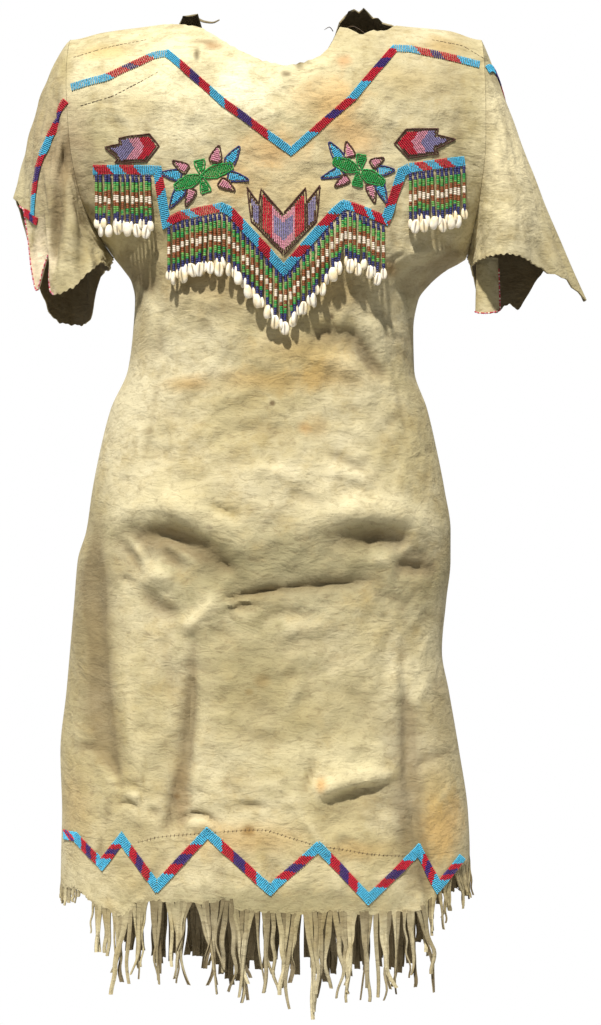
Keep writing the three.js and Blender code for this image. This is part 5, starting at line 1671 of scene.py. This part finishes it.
shell_finish = shell_material()
for seed, (side, (start, end, count, line)) in enumerate(FRINGES.items()):
    rng = np.random.default_rng(70 + seed)
    paths, down, root_z, length = strand_paths(start, end, count, line, rng)
    kept = down < STRAND_LENGTH
    axes = unit(np.gradient(paths, axis=1))
    outs = np.broadcast_to([0.0, -1.0, 0.0], paths.shape)
    names = run_names(down + rng.normal(0, 0.7, paths.shape[:2]), STRAND_RUNS)
    names = np.where((names == "leaf") & (rng.random(names.shape) < 0.4), "green", names)
    piece = beads(
        f"{side}_fringe_beads", paths[:, kept].reshape(-1, 3), axes[:, kept].reshape(-1, 3),
        outs[:, kept].reshape(-1, 3), names[:, kept].ravel(), 80 + seed,
        size=(STRAND_STEP, STRAND_ACROSS, STRAND_ACROSS), template=STRAND_BEAD,
    )
    last = paths[:, kept][:, -1] - np.array([0, 0, STRAND_STEP / 2 + SHELL["length"] / 2])
    yaw = rng.choice([0.0, 0.25, -0.3, 1.2, 3.1, -0.9, 2.6], count) + rng.normal(0, 0.2, count)
    lean = rng.normal(0, 0.1, (count, 2))
    shell_axes = unit(np.stack([lean[:, 0], lean[:, 1] * 0.5, -np.ones(count)], axis=-1))
    shell_outs = np.stack([np.sin(yaw), -np.cos(yaw), 0 * yaw], axis=-1)
    shell_outs = unit(shell_outs - np.sum(shell_outs * shell_axes, axis=1, keepdims=True) * shell_axes)
    sizes = np.array([SHELL["length"], SHELL["width"], SHELL["depth"]]) * rng.normal(1, 0.06, (count, 1))
    behind = (np.arange(count) % 2 == 0)[:, None]
    sizes = np.where(behind, TUCKED[0] * sizes, sizes)
    last = last + behind * [0, 0, TUCKED[1]]
    points, faces = placed(COWRIE, last, shell_axes, shell_outs, sizes)
    slit = np.tile(COWRIE_SLIT, count)
    shells = add_piece(f"{side}_fringe_cowries", points, faces, shell_finish, attributes={"slit": slit})
    for each in (piece, shells):
        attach(each, "root")
    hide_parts(f"fringe_{side}")

# %% [markdown]
# ## The cut fringe
# The hem ends in strips sliced up from the edge with a knife, no two of a width. Cut hide curls and
# twists as it dries, so each strip is a flat ribbon that narrows, turns about itself and wanders, and
# neighbours cling together in clumps.

# %% Hem fringe
FRINGE_LENGTHS = {
    "front": table("x long", [
        [-250, 22], [-226, 20], [-219, 4], [-207, 5], [-201, 62], [-170, 80], [-120, 98], [-60, 96],
        [0, 106], [60, 104], [120, 98], [160, 92], [168, 58], [185, 48], [230, 44],
    ]),
    "back": table("x long", [
        [-250, 20], [-226, 18], [-219, 4], [-205, 6], [-196, 64], [-150, 112], [-60, 124], [60, 128],
        [150, 116], [180, 76], [200, 48], [230, 42],
    ]),
}
# brown is the share of painted shade on the front face of each strip; the back strips get more, as they hang
# in the shade inside the dress.
FRINGE_HABITS = {
    "front": dict(
        count=112, drift=4.5, meet=1.0, twist=1.5, thin=0.25, wander=(0.5, 2.4), root=0.92, own=(0.75, 1.25),
        brown=(0.0, 0.6), spread=(0.72, 1.1),
    ),
    "back": dict(
        count=112, drift=2.5, meet=0.2, twist=0.25, thin=0.02, wander=(0.3, 1.2), root=1.5, own=(1.5, 2.3),
        brown=(0.6, 0.95), spread=(0.9, 1.1),
    ),
}
FRINGE_STRIP = 6.0  # uncut hide above the cuts
FRINGE_MARGIN = 6.0
FRINGE_GAP = 0.05
RIBBON_ROWS = 18


def ribbon_lines(side, rng):
    """Centre lines root + aside(t) * ahead + bulge(t) * out - length * t * up, with their directions."""
    habit = FRINGE_HABITS[side]
    count = habit["count"]
    edge = body_grid(side, np.array([HEM - 1, HEM]), np.radians(np.linspace(-90, 90, 700)))[1]
    walked = walk(edge)
    at = np.linspace(FRINGE_MARGIN, walked[-1] - FRINGE_MARGIN, count)
    spacing = at[1] - at[0]
    at = at + rng.uniform(-0.25, 0.25, count) * spacing
    root = points_at(at, walked, edge)
    ahead = points_at(at + 2, walked, edge) - root
    ahead = unit(ahead * [1, 1, 0])
    out = np.stack([-ahead[:, 1], ahead[:, 0], np.zeros(count)], axis=-1)
    out *= np.sign(out[:, 1:2] + 1e-9) * FACE[side]
    long = np.interp(root[:, 0], FRINGE_LENGTHS[side]["x"], FRINGE_LENGTHS[side]["long"])
    long = long * (1 + 0.07 * np.sin(0.3 * np.arange(count))) * rng.uniform(*habit["spread"], count)
    t = np.linspace(0, 1, RIBBON_ROWS)[None]
    short = np.clip(long / 90, 0, 1)[:, None]  # short strips have no room to sway
    clump = np.cumsum(rng.random(count) < 0.3)
    middle = np.array([at[clump == c].mean() for c in clump])
    drift = rng.normal(0, habit["drift"], clump[-1] + 1)[clump] + rng.normal(0, habit["drift"] / 2, count)
    meet = ((middle - at) * rng.uniform(0.4, 1.15, count))[:, None] * habit["meet"]
    meet = meet * np.clip(t / 0.65, 0, 1) ** 0.85
    hook = rng.normal(0, habit["drift"], (count, 1)) * np.clip((t - 0.66) / 0.34, 0, 1) ** 1.6
    phase, pace = rng.uniform(0, 6.3, (count, 1)), rng.uniform(4.0, 17.0, (count, 1))
    wander = rng.uniform(*habit["wander"], (count, 1)) * (np.sin(pace * t + phase) - np.sin(phase)) * t**0.7
    aside = (drift[:, None] * t**1.3 + meet + hook + wander) * short
    bulge = rng.uniform(-1.5, 8.0, (count, 1)) * t + rng.uniform(0.5, 3.0, (count, 1)) * np.sin(pace * t) * t
    off = short * bulge - HIDE / 2
    line = root[:, None] + aside[..., None] * ahead[:, None] + off[..., None] * out[:, None]
    line[..., 2] = root[:, None, 2] - FRINGE_GAP - long[:, None] * t
    twist = rng.normal(0, habit["twist"], (count, 1)) * np.clip(t * 1.5 - 0.12, 0, None) * short
    return line, ahead, out, twist, spacing, t


def ribbons(side, rng):
    """Strips with six corners round each centre line: a flat band whose edges curl in, turned by a twist."""
    habit = FRINGE_HABITS[side]
    line, ahead, out, twist, spacing, t = ribbon_lines(side, rng)
    count = len(line)
    flat = np.cos(twist)[..., None] * ahead[:, None] + np.sin(twist)[..., None] * out[:, None]
    thick = -np.sin(twist)[..., None] * ahead[:, None] + np.cos(twist)[..., None] * out[:, None]
    own = np.where(rng.random((count, 1)) < habit["thin"], 0.42, rng.uniform(*habit["own"], (count, 1)))
    share = habit["root"] + (own - habit["root"]) * np.clip(4 * t, 0, 1)
    wide = (spacing * share * (1 - 0.3 * t))[..., None] / 2
    deep = (HIDE * (0.9 - 0.25 * t))[..., None] / 2
    curl = 0.42 * wide * np.clip(3 * t, 0, 1)[..., None]
    rings = np.stack([
        line + wide * flat + (deep - curl) * thick, line + (deep + 0.3 * curl) * thick,
        line - wide * flat + (deep - curl) * thick, line - wide * flat - (deep + curl) * thick,
        line - (deep - 0.3 * curl) * thick, line + wide * flat - (deep + curl) * thick,
    ], axis=2)
    index = np.arange(rings[..., 0].size).reshape(rings.shape[:3])
    after = np.roll(index, -1, axis=2)
    skin = np.stack([index[:, :-1], after[:, :-1], after[:, 1:], index[:, 1:]], -1).reshape(-1, 4)
    ends = np.concatenate([index[:, 0, ::-1], index[:, -1]])
    points = rings.reshape(-1, 3)
    # Painted shade: each strip's back face fully, its front face by its own share, more near the root.
    brown = rng.uniform(*habit["brown"], (count, 1, 1)) + 0.2 * (1 - t[..., None])
    shade_share = np.where(np.arange(6) < 3, brown, 1.0) * np.ones(rings.shape[:3])
    return points, outward(points, [skin, ends]), shade_share.ravel()


def hem_fringe(name, side, seed):
    """Ribbons and the uncut strip above them, as one mesh."""
    points, faces, shade_share = ribbons(side, np.random.default_rng(seed))
    strip = body_grid(side, np.linspace(HEM - 1, HEM, 2), np.radians(np.linspace(-90, 90, 181)))[1]
    normals = grid_normals(np.stack([strip, strip - [0, 0, FRINGE_STRIP]]))[0]
    normals *= np.sign(np.sum(normals[:, 1]) * FACE[side])
    uneven = 0.2 + 0.6 * np.random.default_rng(seed + 1).random(len(strip))
    depth = FRINGE_STRIP * uneven[:, None] * [0, 0, 1]
    outer = np.stack([strip - [0, 0, FRINGE_GAP], strip - depth])
    strip_points = np.concatenate([outer.reshape(-1, 3), (outer - HIDE * normals[None]).reshape(-1, 3)])
    strip_faces = outward(strip_points, wall_faces(2, len(strip)))[0]
    return add_piece(
        name, np.concatenate([points, strip_points]), [*faces, strip_faces + len(points)], hide, sharp=50,
        attributes={"inside_shade": np.concatenate([shade_share, inside_shade(strip_points)])},
    )


for name, side, seed in (("front_hem_fringe", "front", 90), ("back_hem_fringe", "back", 92)):
    piece = hem_fringe(name, side, seed)
    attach(piece, "root")
    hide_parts(f"hem_fringe_{side}")

# %% [markdown]
# ## Cloth sizes
# Each wall was cut from a flat skin. The flat width and length are the extent of each cut, measured along
# the skin, and the area is what is left of that rectangle after shaping.

# %% Sizes of the cut sheets
def skin_area(piece):
    """Half the closed wall's area in square metres, which is the area of one side."""
    sizes = np.empty(len(piece.data.polygons))
    piece.data.polygons.foreach_get("area", sizes)
    return float(sizes.sum()) / 2


CUTS = [
    (front, (0.62, 0.96)),
    (border, (0.62, 0.095)),
    (back, (0.62, 1.03)),
    (sleeve_pieces["left"], (0.50, 0.24)),
    (sleeve_pieces["right"], (0.50, 0.26)),
    (tab, (0.048, 0.074)),
]
for piece, flat in CUTS:
    print(piece.name, "one side:", round(skin_area(piece), 4), "m2 of", round(flat[0] * flat[1], 4))
    min(round(skin_area(piece), 4), flat[0] * flat[1])

# %% [markdown]
# ## Floor and light
# The dress hangs as high as it would on its wearer, whose shoulders are 1.45 m above the floor. The floor
# is plain and pale, the wall behind is white, and the room is dimmer. One strong light stands high in
# front, a little to the left, so that every fold is bright above and dark below, and the strands throw
# their shadows down the hide.

# %% Floor, surroundings and key light
FLOOR_Z = -1.45
FLOOR_RADIUS = 1.2
FLOOR_SIDES = 96
FLOOR_THICK = 20  # mm
ROOM_LIGHT = 0.28  # brightness of the room beside the white wall behind the dress


def floor_material():
    """Painted plaster: matt, near white, with the faintest mottling."""
    material, tree = new_material("painted_floor")
    place = node(tree, "ShaderNodeTexCoord").outputs["Object"]
    mottle = node(tree, "ShaderNodeTexNoise", {"Scale": 6.0, "Detail": 3.0}, {"Vector": place})
    colour = node(
        tree, "ShaderNodeMix", {6: linear("#dcdad5"), 7: linear("#d2d0ca")}, {0: mottle.outputs[0]},
        data_type="RGBA",
    )
    shader = node(tree, "ShaderNodeBsdfPrincipled", {"Roughness": 0.85}, {"Base Color": colour.outputs[2]})
    node(tree, "ShaderNodeOutputMaterial", {}, {"Surface": shader.outputs[0]})
    return material


around = np.linspace(0, 2 * math.pi, FLOOR_SIDES, endpoint=False)
disc = np.stack([np.cos(around), np.sin(around), 0 * around], axis=-1) * FLOOR_RADIUS / MM
floor_points = np.concatenate([disc + [0, 0, FLOOR_Z / MM], disc + [0, 0, FLOOR_Z / MM - FLOOR_THICK]])
floor_faces = outward(floor_points, ring_faces(2, FLOOR_SIDES))
floor = add_piece("floor", floor_points, floor_faces, floor_material(), sharp=40)

world = bpy.data.worlds.new("studio")
world.use_nodes = True
sky = world.node_tree
sky.nodes.clear()
toward = node(sky, "ShaderNodeSeparateXYZ", {}, {0: node(sky, "ShaderNodeTexCoord").outputs["Generated"]})
glow = node(sky, "ShaderNodeMapRange", {1: 0.5, 2: 0.95, 3: ROOM_LIGHT, 4: 1.0}, {0: toward.outputs["Y"]})
white = {"Color": (1.0, 1.0, 1.0, 1.0)}
background = node(sky, "ShaderNodeBackground", white, {"Strength": glow.outputs[0]})
node(sky, "ShaderNodeOutputWorld", {}, {"Surface": background.outputs[0]})
bpy.context.scene.world = world

key_data = bpy.data.lights.new("key", "SUN")
key_data.energy = 6.0
key_data.angle = math.radians(3)
key_data.color = (1.0, 0.97, 0.92)
key = bpy.data.objects.new("key", key_data)
key.rotation_euler = (math.radians(35), 0, math.radians(-13))
bpy.context.scene.collection.objects.link(key)
bpy.context.scene.view_settings.view_transform = "Standard"
